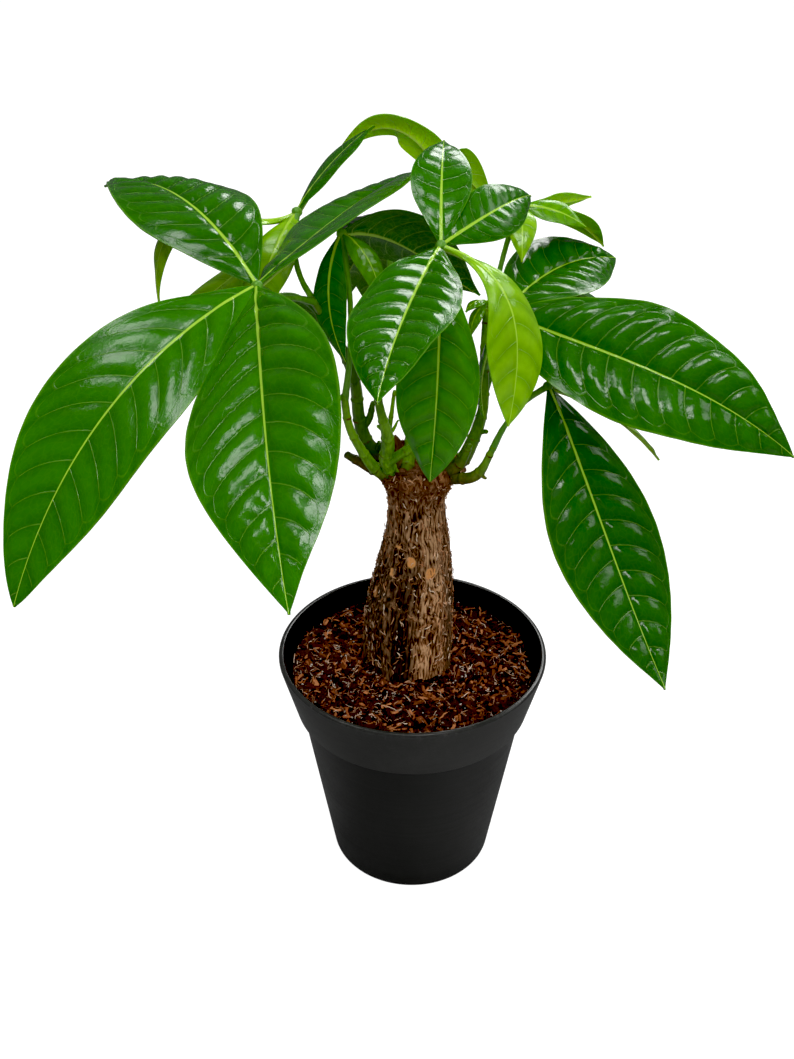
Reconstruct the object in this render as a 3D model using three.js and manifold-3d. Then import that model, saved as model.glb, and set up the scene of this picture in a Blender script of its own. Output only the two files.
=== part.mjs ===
// Potted money tree: a young Pachira with a swollen trunk, in a nursery pot of coir and bark.
// Units are millimetres and +Z is up. The origin is the middle of the pot's flat underside.

import * as THREE from "three";
import { mergeVertices } from "three/addons/utils/BufferGeometryUtils.js";
import Module from "manifold-3d";

const wasm = await Module();
wasm.setup();

// Clearance between two pieces that touch on the real plant
const GAP = 0.3;
const UP = new THREE.Vector3(0, 0, 1);
const DEGREE = Math.PI / 180;
const FULL_TURN = 2 * Math.PI;
const GOLDEN_ANGLE = Math.PI * (3 - Math.sqrt(5));
const RANDOM_SEED = 20;

// Nursery pot, of the size sold as 10.5 cm
const POT = {
  height: 98,
  rimRadius: 52.5,
  baseRadius: 32.5,
  baseRound: 1.6,
  bandHeight: 24,
  bandFootRadius: 46.2,
  neckRadius: 44.2,
  wall: 1.3,
  lipWidth: 2.4,
  lipRound: 0.8,
  floor: 1.8,
  sides: 48,
};
const BAND_FOOT = POT.height - POT.bandHeight;
const DRAIN = { count: 6, radius: 3.6, ringRadius: 21, sides: 10 };

// Soil of coir fibre and bark chips. It lies highest at the pot's wall, and its top is lumpy.
const SOIL = { top: 86.5, middleDip: 0.5, edgeRise: 1.1, lump: 0.5, rings: 4, sides: 28 };
const CHIP = {
  count: 38,
  length: [6, 10],
  width: [2.6, 4.4],
  thick: [1.6, 2.4],
  innerRadius: 24,
  outerRadius: 41,
  rise: 0.5,
  stray: 0.4,
  pitch: 0.45,
  roll: 0.3,
};

// Trunk: height, centre and radius of its rings, from the buried root stock to the broken top.
// Each flute is a wave round the bark, with its count, twist per millimetre, start and depth.
const TRUNK = {
  sides: 22,
  flutes: [
    { count: 5, twist: 0.053, start: 0, depth: 0.028 },
    { count: 9, twist: -0.077, start: 0, depth: 0.02 },
    { count: 3, twist: 0, start: 1, depth: 0.014 },
  ],
  topSink: 4,
  topWave: 1.2,
  topSlope: 0.12,
  footPoint: 2,
  rings: [
    { z: 24, x: -3, y: 10, radius: 4 },
    { z: 38, x: -2.5, y: 10, radius: 10 },
    { z: 58, x: -2, y: 9.5, radius: 15.2 },
    { z: 76, x: -1.8, y: 9, radius: 17.2 },
    { z: 90, x: -1.6, y: 9, radius: 17.6 },
    { z: 100, x: -1.4, y: 9, radius: 17.4 },
    { z: 110, x: -1.1, y: 9, radius: 17.1 },
    { z: 119, x: -0.6, y: 9, radius: 16.2 },
    { z: 132, x: 0.4, y: 9, radius: 14 },
    { z: 144.5, x: 1, y: 9, radius: 11.9 },
    { z: 153, x: 1.1, y: 9, radius: 10.8 },
    { z: 160, x: 0.9, y: 9, radius: 10.7 },
    { z: 165.5, x: 1.6, y: 9, radius: 11.8 },
    { z: 170, x: 2, y: 9, radius: 14 },
    { z: 174, x: 2.1, y: 9, radius: 15.2 },
    { z: 177, x: 2.2, y: 9.3, radius: 13.8 },
  ],
};
const SPLINTER = {
  count: 9,
  ringRadius: 10.5,
  height: [5, 10],
  sink: 4,
  radius: 2.3,
  lean: 0.25,
  sides: 4,
};

// Roots spread and dip from the middle of the root stock
const ROOT = {
  count: 5,
  firstTurn: 0.3,
  centre: [-2, 6],
  startHeight: 64,
  endHeight: 28,
  startReach: 6,
  endReach: 24,
  wander: 0.35,
  dip: 1.4,
  radii: [5.5, 3.6, 2.2, 1.2],
  sides: 7,
  steps: 6,
};

// Shoots on the broken top: a route from inside the trunk out to the tip, with a radius at each point
const SHOOTS = {
  dead_stub: {
    colour: 0x2e1f19,
    route: [[-7, 6, 173.5], [-13.5, 3.8, 175.5], [-19, 1.5, 179.5], [-23.5, 0, 183]],
    radii: [3, 2.7, 2.1, 1.5],
  },
  shoot_left: {
    colour: 0x3f4a28,
    route: [
      [-6, 11.5, 173.5], [-13, 10, 178.5], [-17, 8.5, 184], [-19.5, 8, 194], [-20.8, 5.5, 210],
      [-26.8, 0, 229], [-33.5, -9, 245],
    ],
    radii: [3.4, 3, 2.6, 2.3, 2, 1.4, 1.2],
  },
  shoot_left_front: {
    colour: 0x5c8a35,
    route: [[-7, 3, 173], [-12.8, 1.5, 176], [-19.2, -2.2, 187.6], [-22.7, -4, 197.2], [-24, -4.5, 208]],
    radii: [3, 2.8, 2.1, 1.8, 1.5],
  },
  shoot_front: {
    colour: 0x63973a,
    route: [[-6, 1, 173.5], [-9.8, -3.4, 182], [-10.2, -8, 196], [-12.4, -10, 209.7]],
    radii: [3.6, 3.3, 2.6, 1.9],
  },
  shoot_back: {
    colour: 0x6f9440,
    route: [[-3, 9, 172.5], [0, 15, 179.5], [-1.5, 22, 190], [-3, 30, 205]],
    radii: [3, 2.7, 2.1, 1.7],
  },
  shoot_right: {
    colour: 0x41662b,
    route: [
      [11, 9, 172.5], [17.5, 8.5, 176.5], [20.9, 10, 182.4], [24.7, 12, 194.7], [24.8, 16, 216.6],
      [25.4, 20, 230],
    ],
    radii: [3.3, 2.9, 2.2, 1.9, 1.6, 1.4],
  },
  shoot_right_front: {
    colour: 0x4c6330,
    route: [[10.5, 3, 173.5], [15.8, 1.2, 178], [18.2, -0.8, 183.4], [19.4, -2.4, 188]],
    radii: [2.8, 2.4, 2, 1.3],
  },
  shoot_right_low: {
    colour: 0x47612c,
    route: [[10.5, 3.5, 172.4], [16, 1.5, 172.8], [20.1, -2.8, 174], [23.7, -5, 179.9], [27.6, -6.9, 190]],
    radii: [3, 2.6, 2.1, 1.8, 1.4],
  },
};
const SHOOT_SIDES = 8;
const SHOOT_STEPS_PER_POINT = 3;

// A leaflet's usual form. Angles are in degrees and lengths in millimetres.
// arch lifts the midrib over its chord, bend moves that lift to the base, and sway bows it sideways.
// fold lifts the two halves from the midrib, and curl turns their edges down again.
const LEAF = {
  width: 20,
  arch: 6,
  bend: 0,
  sway: 0,
  roll: 0,
  twist: 0,
  fold: 0.24,
  curl: 0.26,
  widest: 0.49,
  basePower: 1.05,
  tipPower: 1,
  thick: 0.85,
  ribDepth: 0.7,
};
const LEAF_ACROSS = [-1, -0.55, 0, 0.55, 1];
const NARROW_ACROSS = [-1, 0, 1];
const NARROW_LEAF = 12.5;
const LEAF_STALK = 0.9;
const LEAF_TIP = 0.45;
const RIB_TAPER = 0.7;
// A leaflet's stations along its midrib: millimetres to each, fewest and most, and how much they crowd
// towards its ends, from 0 to 1
const MM_PER_STATION = 15;
const STATION_LIMITS = [4, 8];
const STATION_CROWDING = 0.4;
// A cubic curve rises to this share of the lift of its two inner points
const CUBIC_RISE = 0.75;
const PETIOLE_RADII = [1.5, 1.05, 1, 1.25];
const PETIOLE_SIDES = 6;
const PETIOLE_STEPS = 6;
const HUB_RADIUS = 2.1;

const DARK_GREEN = 0x1f6b22;
const MID_GREEN = 0x3a8a2e;
const LIGHT_GREEN = 0x86b83c;

// Fronds: the route of the petiole up to the hub, and how far each leaflet reaches from the hub
const FRONDS = {
  frond_left: {
    colour: DARK_GREEN,
    petiole: [[-33, -8.4, 244], [-37.5, -18, 249], [-42, -29, 253.5], [-47.4, -40, 261.4]],
    leaflets: [
      { reach: [-61, 84, 5], width: 39, arch: 11, sway: 2.5, roll: -2, twist: 28, widest: 0.46,
        tipPower: 1.15 },
      { reach: [-66, -65, -70], width: 44, arch: 14, sway: 4.3, roll: -14, twist: -5, widest: 0.47,
        tipPower: 0.8 },
      { reach: [16, -112, -39], width: 46, arch: 8, bend: -0.2, sway: -2.5, roll: 28, twist: -14,
        widest: 0.51 },
      { reach: [50, 89, 9], width: 37, arch: 3.5, bend: -0.3, sway: 2.2, roll: -22, twist: 11, fold: 0.33 },
    ],
  },
  frond_top_front: {
    colour: DARK_GREEN,
    petiole: [
      [-12.2, -9.8, 208], [-12.5, -12, 226], [-5.5, -18.5, 249], [2.5, -25.5, 264], [7.1, -30, 270.1],
    ],
    leaflets: [
      { reach: [2, 45.6, 19.2], width: 19, arch: 5.4, bend: -0.2, sway: -0.8, roll: 5, tipPower: 1.05 },
      { reach: [29.7, 35.3, 4.4], width: 18, arch: 4.8, bend: -0.25, roll: 40, twist: 11, tipPower: 1.05 },
      { reach: [-18, -78, -14], width: 30.5, arch: -0.4, sway: 2.3, roll: 5, twist: 21, fold: 0.36,
        widest: 0.47 },
      { reach: [-2.8, -23.4, -67.4], width: 25.5, arch: 6.3, sway: -2, roll: 5, widest: 0.58,
        tipPower: 0.85 },
      { reach: [20, -28, -46], width: 24, arch: 11.8, bend: 0.4, sway: -5, roll: -13, twist: 14,
        widest: 0.62 },
    ],
  },
  frond_right: {
    colour: DARK_GREEN,
    petiole: [[24.8, 14.6, 209], [26, 11, 219], [28, 5, 229], [30, 0, 236]],
    leaflets: [
      { reach: [90, -42, -31], width: 42, arch: 13, bend: -0.5, sway: 0.9, roll: 39, fold: 0.36,
        widest: 0.46, basePower: 0.75, tipPower: 0.92 },
      { reach: [44, 50, 2], width: 32.5, arch: 3.8, bend: -0.2, sway: -4.5, roll: 13, twist: 37, fold: 0.27,
        widest: 0.53, tipPower: 0.75 },
      { reach: [46, 34, -30], width: 23, arch: 6 },
      { reach: [-6, 1, -38], width: 14, arch: 4 },
    ],
  },
  frond_right_low: {
    colour: DARK_GREEN,
    petiole: [[27.2, -6.7, 189], [31.1, -8, 199], [38, -9.5, 209.5], [44.6, -10, 214.8]],
    leaflets: [
      { reach: [35.6, -67, -75.7], width: 42, arch: -5.8, bend: -0.3, sway: -3.5, widest: 0.51, fold: 0.28,
        basePower: 0.9 },
      { reach: [45.6, 22, -40], width: 17, arch: 4 },
    ],
  },
  frond_right_top: {
    colour: LIGHT_GREEN,
    petiole: [[25, 17.6, 221], [28, 24, 234], [32.5, 31, 251], [36.9, 35, 261.8]],
    leaflets: [
      { reach: [27.6, 23, -3.3], width: 11.5, arch: 0.5, sway: -1.5, roll: -52 },
      { reach: [33, 18.5, -20.3], width: 16, arch: 3.5, sway: 2, roll: -22, twist: 20 },
      { reach: [22, -7, -5], width: 10, arch: 3, roll: 30 },
      { reach: [-1, -23, -11.6], width: 10, arch: 4 },
    ],
  },
  frond_top_back: {
    colour: MID_GREEN,
    petiole: [[-2.8, 29, 204], [2, 40, 225], [8, 50, 246], [12.4, 58, 262.2]],
    leaflets: [
      { reach: [-42.2, 1, 8.4], width: 17, arch: 6, bend: -0.6, sway: -23.5, roll: 41, twist: -23,
        fold: 0.29, widest: 0.42, tipPower: 1.2 },
      { reach: [18.2, 20, -14], width: 16.5, arch: 15.5, bend: 0.4, sway: 1, roll: -55, widest: 0.53 },
      { reach: [-6, 42, -25], width: 18, arch: 8 },
    ],
  },
  frond_left_inner: {
    colour: MID_GREEN,
    petiole: [[-23.8, -4.4, 207], [-22, -4.5, 222], [-21.5, -1, 242], [-24.2, 5, 262.5]],
    leaflets: [
      { reach: [1.4, -17.7, -37.7], width: 11, arch: 3.8, sway: 3.4 },
      { reach: [12.7, -11, -19], width: 11, arch: 4 },
      { reach: [47.4, 20, -29], width: 32, arch: 6.3, bend: 0.5, sway: -1.2, roll: -40, twist: 20,
        fold: 0.4, widest: 0.44, basePower: 0.75 },
      { reach: [18, 36, -4.5], width: 14, arch: 0.5 },
    ],
  },
  frond_left_back: {
    colour: LIGHT_GREEN,
    petiole: [[-30.5, -4.5, 238], [-38, 4, 248], [-40.5, 14, 256], [-39.9, 25, 263.1]],
    leaflets: [
      { reach: [-45, -25, -24], width: 12.9, arch: 15, bend: -1.1, sway: 2.4, roll: -2, twist: -7,
        widest: 0.58 },
      { reach: [-55, -34, -33], width: 17, arch: -5 },
      { reach: [-14.6, -31, -30], width: 17.3, arch: 4 },
      { reach: [26.2, 17, 24.5], width: 14, arch: 2, roll: -38 },
    ],
  },
  frond_left_low: {
    colour: DARK_GREEN,
    petiole: [[-26, 1, 227], [-34, 12, 233], [-42, 28, 232], [-50, 42, 226]],
    leaflets: [
      { reach: [-45, 10, -45], width: 25, arch: 12 },
      { reach: [-22, -14, -60], width: 25, arch: 10 },
      { reach: [2, 42, -55], width: 25, arch: 14 },
    ],
  },
  frond_back: {
    colour: DARK_GREEN,
    petiole: [[-1.5, 23, 192], [-5, 40, 208], [-8, 54, 225], [-9, 62, 238]],
    leaflets: [
      { reach: [-9, 60, -48], width: 30, arch: 14 },
      { reach: [24, 50, -40], width: 25, arch: 12 },
      { reach: [-22, 40, -44], width: 20, arch: 10 },
    ],
  },
  frond_right_back: {
    colour: DARK_GREEN,
    petiole: [[20.6, 10.4, 183], [27, 24, 198], [33, 42, 212], [38, 58, 222]],
    leaflets: [
      { reach: [46, 40, -40], width: 27, arch: 12 },
      { reach: [8, 60, -46], width: 24, arch: 12 },
      { reach: [56, 12, -32], width: 22, arch: 8 },
    ],
  },
  young_frond: {
    colour: MID_GREEN,
    petiole: [[25.3, 19.4, 228.5], [25.3, 19.8, 230.5], [25.2, 20.2, 232.5]],
    leaflets: [
      { reach: [-7.5, -6, -1], width: 5.5, arch: 1.5 },
      { reach: [9, -5, 0], width: 6, arch: 1.5 },
      { reach: [-5.5, -6, -10], width: 5.5, arch: 2 },
    ],
  },
};

// Small helpers
THREE.MathUtils.seededRandom(RANDOM_SEED);

function between([low, high]) {
  return THREE.MathUtils.lerp(low, high, THREE.MathUtils.seededRandom());
}

function around(reach) {
  return between([-reach, reach]);
}

function vector([x, y, z]) {
  return new THREE.Vector3(x, y, z);
}

// A closed three.js geometry becomes a solid, turned right side out
function solid(geometry) {
  const bare = geometry.clone();
  bare.deleteAttribute("normal");
  bare.deleteAttribute("uv");
  const merged = mergeVertices(bare, 1e-4);
  const corners = merged.attributes.position.array;
  const faces = [];
  let volume = 0;
  for (let i = 0; i < merged.index.count; i += 3) {
    const [a, b, c] = [0, 1, 2].map((k) => merged.index.getX(i + k));
    if (a === b || b === c || c === a) {
      continue;
    }
    faces.push([a, b, c]);
    const [p, q, r] = [a, b, c].map((k) => new THREE.Vector3().fromArray(corners, 3 * k));
    volume += p.dot(q.cross(r));
  }
  const outward = volume > 0 ? faces : faces.map(([a, b, c]) => [a, c, b]);
  const mesh = new wasm.Mesh({
    numProp: 3,
    vertProperties: new Float32Array(corners),
    triVerts: new Uint32Array(outward.flat()),
  });
  return new wasm.Manifold(mesh);
}

function join(solids) {
  return solids.reduce((sum, next) => sum.add(next));
}

// What is left of a body after its cuts, without loose scraps or sealed pockets
function mainBody(body) {
  return body.decompose().reduce((most, piece) => (piece.volume() > most.volume() ? piece : most));
}

// Rings of points joined side by side into one closed skin, with a middle point closing each end
function loft(rings, firstMiddle, lastMiddle) {
  const sides = rings[0].length;
  const points = [...rings.flat(), firstMiddle, lastMiddle];
  const first = points.length - 2;
  const last = points.length - 1;
  const top = (rings.length - 1) * sides;
  const index = [];
  for (let side = 0; side < sides; side += 1) {
    const next = (side + 1) % sides;
    index.push(first, next, side);
    index.push(last, top + side, top + next);
    for (let ring = 0; ring < rings.length - 1; ring += 1) {
      const here = ring * sides;
      const above = here + sides;
      index.push(here + side, here + next, above + next);
      index.push(here + side, above + next, above + side);
    }
  }
  const geometry = new THREE.BufferGeometry().setFromPoints(points);
  geometry.setIndex(index);
  return geometry;
}

// A round stem along a smooth route, with its radius given at each point of the route
function stem(route, radii, sides, steps, grow = 0) {
  const curve = new THREE.CatmullRomCurve3(route.map(vector), false, "centripetal");
  const frames = curve.computeFrenetFrames(steps, false);
  const rings = [];
  for (let step = 0; step <= steps; step += 1) {
    const share = (step / steps) * (radii.length - 1);
    const low = Math.min(Math.floor(share), radii.length - 2);
    const radius = THREE.MathUtils.lerp(radii[low], radii[low + 1], share - low) + grow;
    const push = step === 0 ? -grow : step === steps ? grow : 0;
    const middle = curve.getPointAt(step / steps).addScaledVector(frames.tangents[step], push);
    rings.push(
      Array.from({ length: sides }, (_, side) => {
        const angle = (side / sides) * FULL_TURN;
        return middle
          .clone()
          .addScaledVector(frames.normals[step], Math.cos(angle) * radius)
          .addScaledVector(frames.binormals[step], Math.sin(angle) * radius);
      }),
    );
  }
  const start = curve.getPointAt(0).addScaledVector(frames.tangents[0], -grow);
  const end = curve.getPointAt(1).addScaledVector(frames.tangents[steps], grow);
  return solid(loft(rings, start, end));
}

// Two equal grids of points, one over the other, closed along their edges into one slab
function slab(top, bottom) {
  const rows = top.length;
  const columns = top[0].length;
  const points = [...top.flat(), ...bottom.flat()];
  const under = rows * columns;
  const index = [];
  const wall = (a, b) => {
    index.push(b, a, under + a);
    index.push(b, under + a, under + b);
  };
  for (let row = 0; row < rows - 1; row += 1) {
    for (let column = 0; column < columns - 1; column += 1) {
      const a = row * columns + column;
      const b = a + 1;
      const c = a + columns + 1;
      const d = a + columns;
      index.push(a, b, c, a, c, d);
      index.push(under + a, under + c, under + b, under + a, under + d, under + c);
    }
    wall((row + 1) * columns, row * columns);
    wall(row * columns + columns - 1, (row + 1) * columns + columns - 1);
  }
  for (let column = 0; column < columns - 1; column += 1) {
    wall(column, column + 1);
    wall((rows - 1) * columns + column + 1, (rows - 1) * columns + column);
  }
  const geometry = new THREE.BufferGeometry().setFromPoints(points);
  geometry.setIndex(index);
  return solid(geometry);
}

// Pot: a turned shell with a rim band, a rounded lip and drainage holes
function bodyInside(z) {
  return THREE.MathUtils.mapLinear(z, 0, BAND_FOOT, POT.baseRadius, POT.neckRadius) - POT.wall;
}

function bandInside(z) {
  const outside = THREE.MathUtils.mapLinear(z, BAND_FOOT, POT.height, POT.bandFootRadius, POT.rimRadius);
  return outside - POT.lipWidth;
}

function turned(profile, sides) {
  const points = profile.map(([radius, z]) => new THREE.Vector2(radius, z));
  return new THREE.LatheGeometry(points, sides).rotateX(Math.PI / 2);
}

function makePot() {
  const round = POT.lipRound;
  const profile = [
    [0, 0],
    [POT.baseRadius - POT.baseRound, 0],
    [POT.baseRadius, POT.baseRound],
    [POT.neckRadius, BAND_FOOT],
    [POT.bandFootRadius, BAND_FOOT],
    [POT.rimRadius, POT.height - round],
    [POT.rimRadius - round, POT.height],
    [POT.rimRadius - POT.lipWidth + round, POT.height],
    [bandInside(POT.height - round), POT.height - round],
    [bandInside(BAND_FOOT), BAND_FOOT],
    [bodyInside(BAND_FOOT - POT.wall), BAND_FOOT - POT.wall],
    [bodyInside(POT.floor), POT.floor],
    [0, POT.floor],
  ];
  let pot = solid(turned(profile, POT.sides));
  for (let i = 0; i < DRAIN.count; i += 1) {
    const angle = ((i + 0.5) / DRAIN.count) * FULL_TURN;
    const hole = new THREE.CylinderGeometry(DRAIN.radius, DRAIN.radius, 4 * POT.floor, DRAIN.sides);
    hole.rotateX(Math.PI / 2);
    hole.translate(DRAIN.ringRadius * Math.cos(angle), DRAIN.ringRadius * Math.sin(angle), POT.floor / 2);
    pot = pot.subtract(solid(hole));
  }
  return pot;
}

// Trunk: a lofted, fluted bark body with splinters on its broken top and roots below
function trunkRing({ z, x, y, radius }, grow) {
  return Array.from({ length: TRUNK.sides }, (_, side) => {
    const angle = (side / TRUNK.sides) * FULL_TURN;
    const fluting = TRUNK.flutes.reduce(
      (sum, { count, twist, start, depth }) => sum + depth * Math.sin(count * angle + twist * z + start),
      1,
    );
    const reach = radius * fluting + grow;
    return new THREE.Vector3(x + reach * Math.cos(angle), y + reach * Math.sin(angle), z);
  });
}

function trunkBody(grow) {
  const rings = TRUNK.rings.map((ring) => trunkRing(ring, grow));
  const bottom = TRUNK.rings[0];
  const top = TRUNK.rings[TRUNK.rings.length - 1];
  rings[0].forEach((point) => point.setZ(point.z - grow));
  rings[rings.length - 1].forEach((point, side) => {
    point.z += grow + TRUNK.topWave * Math.sin(3 * side) + TRUNK.topSlope * (point.y - top.y);
  });
  const foot = new THREE.Vector3(bottom.x, bottom.y, bottom.z - TRUNK.footPoint - grow);
  const hollow = new THREE.Vector3(top.x, top.y, top.z - TRUNK.topSink + grow);
  return solid(loft(rings, foot, hollow));
}

function rootRoute(angle) {
  return ROOT.radii.map((_, step) => {
    const share = step / (ROOT.radii.length - 1);
    const reach = THREE.MathUtils.lerp(ROOT.startReach, ROOT.endReach, share);
    const turn = angle + ROOT.wander * Math.sin(3 * share + angle);
    const height = THREE.MathUtils.lerp(ROOT.startHeight, ROOT.endHeight, share ** ROOT.dip);
    return [ROOT.centre[0] + reach * Math.cos(turn), ROOT.centre[1] + reach * Math.sin(turn), height];
  });
}

function roots(grow) {
  return Array.from({ length: ROOT.count }, (_, i) => {
    const angle = ((i + ROOT.firstTurn) / ROOT.count) * FULL_TURN;
    return stem(rootRoute(angle), ROOT.radii, ROOT.sides, ROOT.steps, grow);
  });
}

const splinterSpots = Array.from({ length: SPLINTER.count }, (_, i) => ({
  angle: (between([i, i + 0.4]) / SPLINTER.count) * FULL_TURN,
  height: between(SPLINTER.height),
}));

function splinters(grow) {
  const top = TRUNK.rings[TRUNK.rings.length - 1];
  return splinterSpots.map(({ angle, height }) => {
    const whole = height + SPLINTER.sink + 3 * grow;
    const spike = new THREE.ConeGeometry(SPLINTER.radius + 1.5 * grow, whole, SPLINTER.sides);
    spike.rotateX(Math.PI / 2);
    spike.translate(0, 0, whole / 2 - SPLINTER.sink);
    spike.rotateY(SPLINTER.lean * Math.cos(angle));
    spike.translate(
      top.x + SPLINTER.ringRadius * Math.cos(angle),
      top.y + SPLINTER.ringRadius * Math.sin(angle),
      top.z,
    );
    return solid(spike);
  });
}

function makeTrunk() {
  return join([trunkBody(0), ...roots(0), ...splinters(0)]);
}

// The trunk swollen by the clearance, which cuts a plain seat in the soil and in the shoots.
// Its faces lean, so it swells by half as much again to keep the clearance between them.
function trunkSeat() {
  return join([trunkBody(1.5 * GAP), ...roots(GAP), ...splinters(GAP)]);
}

// Soil: the packed body in the pot, its top lumpy and covered with chips, with the trunk's hole
function lump(x, y) {
  return SOIL.lump * (Math.sin(x / 4 + 1) * Math.cos(y / 4) + 0.7 * Math.sin((x + 2 * y) / 5));
}

function soilBody() {
  const foot = POT.floor + GAP;
  const ledge = BAND_FOOT - POT.wall;
  const edge = bandInside(SOIL.top - SOIL.middleDip - SOIL.edgeRise) - GAP;
  const profile = [[0, foot], [bodyInside(foot) - GAP, foot], [bodyInside(ledge) - GAP, ledge]];
  for (let ring = SOIL.rings; ring >= 0; ring -= 1) {
    const share = ring / SOIL.rings;
    profile.push([edge * share, SOIL.top + THREE.MathUtils.lerp(-SOIL.middleDip, SOIL.edgeRise, share)]);
  }
  const body = turned(profile, SOIL.sides);
  const place = body.attributes.position;
  for (let i = 0; i < place.count; i += 1) {
    const [x, y, z] = [place.getX(i), place.getY(i), place.getZ(i)];
    if (z > ledge && Math.hypot(x, y) < edge - GAP) {
      place.setZ(i, z + lump(x, y));
    }
  }
  return solid(body);
}

function chips() {
  return Array.from({ length: CHIP.count }, (_, i) => {
    const angle = i * GOLDEN_ANGLE + around(CHIP.stray);
    const reach = Math.sqrt(between([CHIP.innerRadius ** 2, CHIP.outerRadius ** 2]));
    const chip = new THREE.BoxGeometry(between(CHIP.length), between(CHIP.width), between(CHIP.thick));
    chip.rotateX(around(CHIP.pitch));
    chip.rotateY(around(CHIP.roll));
    chip.rotateZ(around(Math.PI / 2));
    const [x, y] = [reach * Math.cos(angle), reach * Math.sin(angle)];
    chip.translate(x, y, SOIL.top + lump(x, y) + CHIP.rise);
    return solid(chip);
  });
}

function makeSoil(seat) {
  return join([soilBody(), ...chips()]).subtract(seat);
}

// Shoots, cut to the trunk that they stand on
function shootStem({ route, radii }, grow) {
  const steps = (route.length - 1) * SHOOT_STEPS_PER_POINT;
  return stem(route, radii, SHOOT_SIDES, steps, grow);
}

// Leaflet: a thin arched blade round a curved midrib, thicker along the rib below
function outline(share, leaf) {
  const even = share ** (Math.log(0.5) / Math.log(leaf.widest));
  const power = THREE.MathUtils.lerp(leaf.basePower, leaf.tipPower, share);
  return Math.max(Math.sin(Math.PI * even), 0) ** power;
}

function midrib(hub, reach, leaf) {
  const along = reach.clone().normalize();
  const normal = UP.clone().addScaledVector(along, -along.z).normalize();
  normal.applyAxisAngle(along, leaf.roll * DEGREE);
  const side = along.clone().cross(normal);
  const lifted = (share, lift) =>
    hub
      .clone()
      .addScaledVector(reach, share)
      .addScaledVector(normal, lift / CUBIC_RISE)
      .addScaledVector(side, leaf.sway / CUBIC_RISE);
  const curve = new THREE.CubicBezierCurve3(
    hub,
    lifted(1 / 3, leaf.arch * (1 + leaf.bend)),
    lifted(2 / 3, leaf.arch * (1 - leaf.bend)),
    hub.clone().add(reach),
  );
  return { curve, normal };
}

function makeLeaflet(hub, given) {
  const leaf = { ...LEAF, ...given };
  const reach = vector(leaf.reach);
  const { curve, normal } = midrib(hub, reach, leaf);
  const stations = THREE.MathUtils.clamp(Math.round(reach.length() / MM_PER_STATION), ...STATION_LIMITS);
  const columns = leaf.width > NARROW_LEAF ? LEAF_ACROSS : NARROW_ACROSS;
  const top = [];
  const bottom = [];
  for (let i = 0; i <= stations; i += 1) {
    const even = i / stations;
    const crowded = 0.5 - 0.5 * Math.cos(Math.PI * even);
    const share = THREE.MathUtils.lerp(even, crowded, STATION_CROWDING);
    const middle = curve.getPoint(share);
    const tangent = curve.getTangent(share);
    const across = tangent.clone().cross(normal).normalize();
    across.applyAxisAngle(tangent, leaf.twist * DEGREE * (share - 0.5));
    const face = across.clone().cross(tangent);
    const least = THREE.MathUtils.lerp(LEAF_STALK, LEAF_TIP, share);
    const half = Math.max((leaf.width / 2) * outline(share, leaf), least);
    const place = (s, lift) =>
      middle
        .clone()
        .addScaledVector(across, s * half)
        .addScaledVector(face, half * (leaf.fold * Math.abs(s) - leaf.curl * s * s) + lift);
    const rib = leaf.ribDepth * (1 - RIB_TAPER * share);
    top.push(columns.map((s) => place(s, leaf.thick / 2)));
    bottom.push(columns.map((s) => place(s, -leaf.thick / 2 - (s === 0 ? rib : 0))));
  }
  return slab(top, bottom);
}

function makeFrond({ petiole, leaflets }) {
  const hub = vector(petiole[petiole.length - 1]);
  const knob = new THREE.IcosahedronGeometry(HUB_RADIUS, 0).translate(hub.x, hub.y, hub.z);
  const stalk = stem(petiole, PETIOLE_RADII, PETIOLE_SIDES, PETIOLE_STEPS);
  return join([stalk, solid(knob), ...leaflets.map((leaf) => makeLeaflet(hub, leaf))]);
}

// Materials
function finish(color, roughness) {
  return new THREE.MeshStandardMaterial({ color, roughness, metalness: 0 });
}

const plastic = finish(0x1d1e20, 0.55);
const earth = finish(0x4a2415, 0.95);
const bark = finish(0x5b4130, 0.9);

// The whole plant
const plant = new THREE.Group();
plant.name = "potted_money_tree";

function addPiece(name, body, material) {
  const { numProp, vertProperties, triVerts } = mainBody(body).getMesh();
  const geometry = new THREE.BufferGeometry();
  geometry.setAttribute("position", new THREE.Float32BufferAttribute(vertProperties, numProp));
  geometry.setIndex(new THREE.Uint32BufferAttribute(triVerts, 1));
  geometry.computeVertexNormals();
  const mesh = new THREE.Mesh(geometry, material);
  mesh.name = name;
  plant.add(mesh);
}

const seat = trunkSeat();
addPiece("pot", makePot(), plastic);
addPiece("soil", makeSoil(seat), earth);
addPiece("trunk", makeTrunk(), bark);

const seats = [seat];
for (const [name, shoot] of Object.entries(SHOOTS)) {
  const body = seats.reduce((rest, other) => rest.subtract(other), shootStem(shoot, 0));
  addPiece(name, body, finish(shoot.colour, 0.7));
  seats.push(shootStem(shoot, GAP));
}

for (const [name, frond] of Object.entries(FRONDS)) {
  const body = seats.reduce((rest, other) => rest.subtract(other), makeFrond(frond));
  addPiece(name, body, finish(frond.colour, 0.35));
}

export default plant;
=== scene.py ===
"""Potted money tree: the fine shape and the finish of every piece, laid out as a Blender add-on."""

import math
from functools import cache
from typing import NamedTuple

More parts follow.
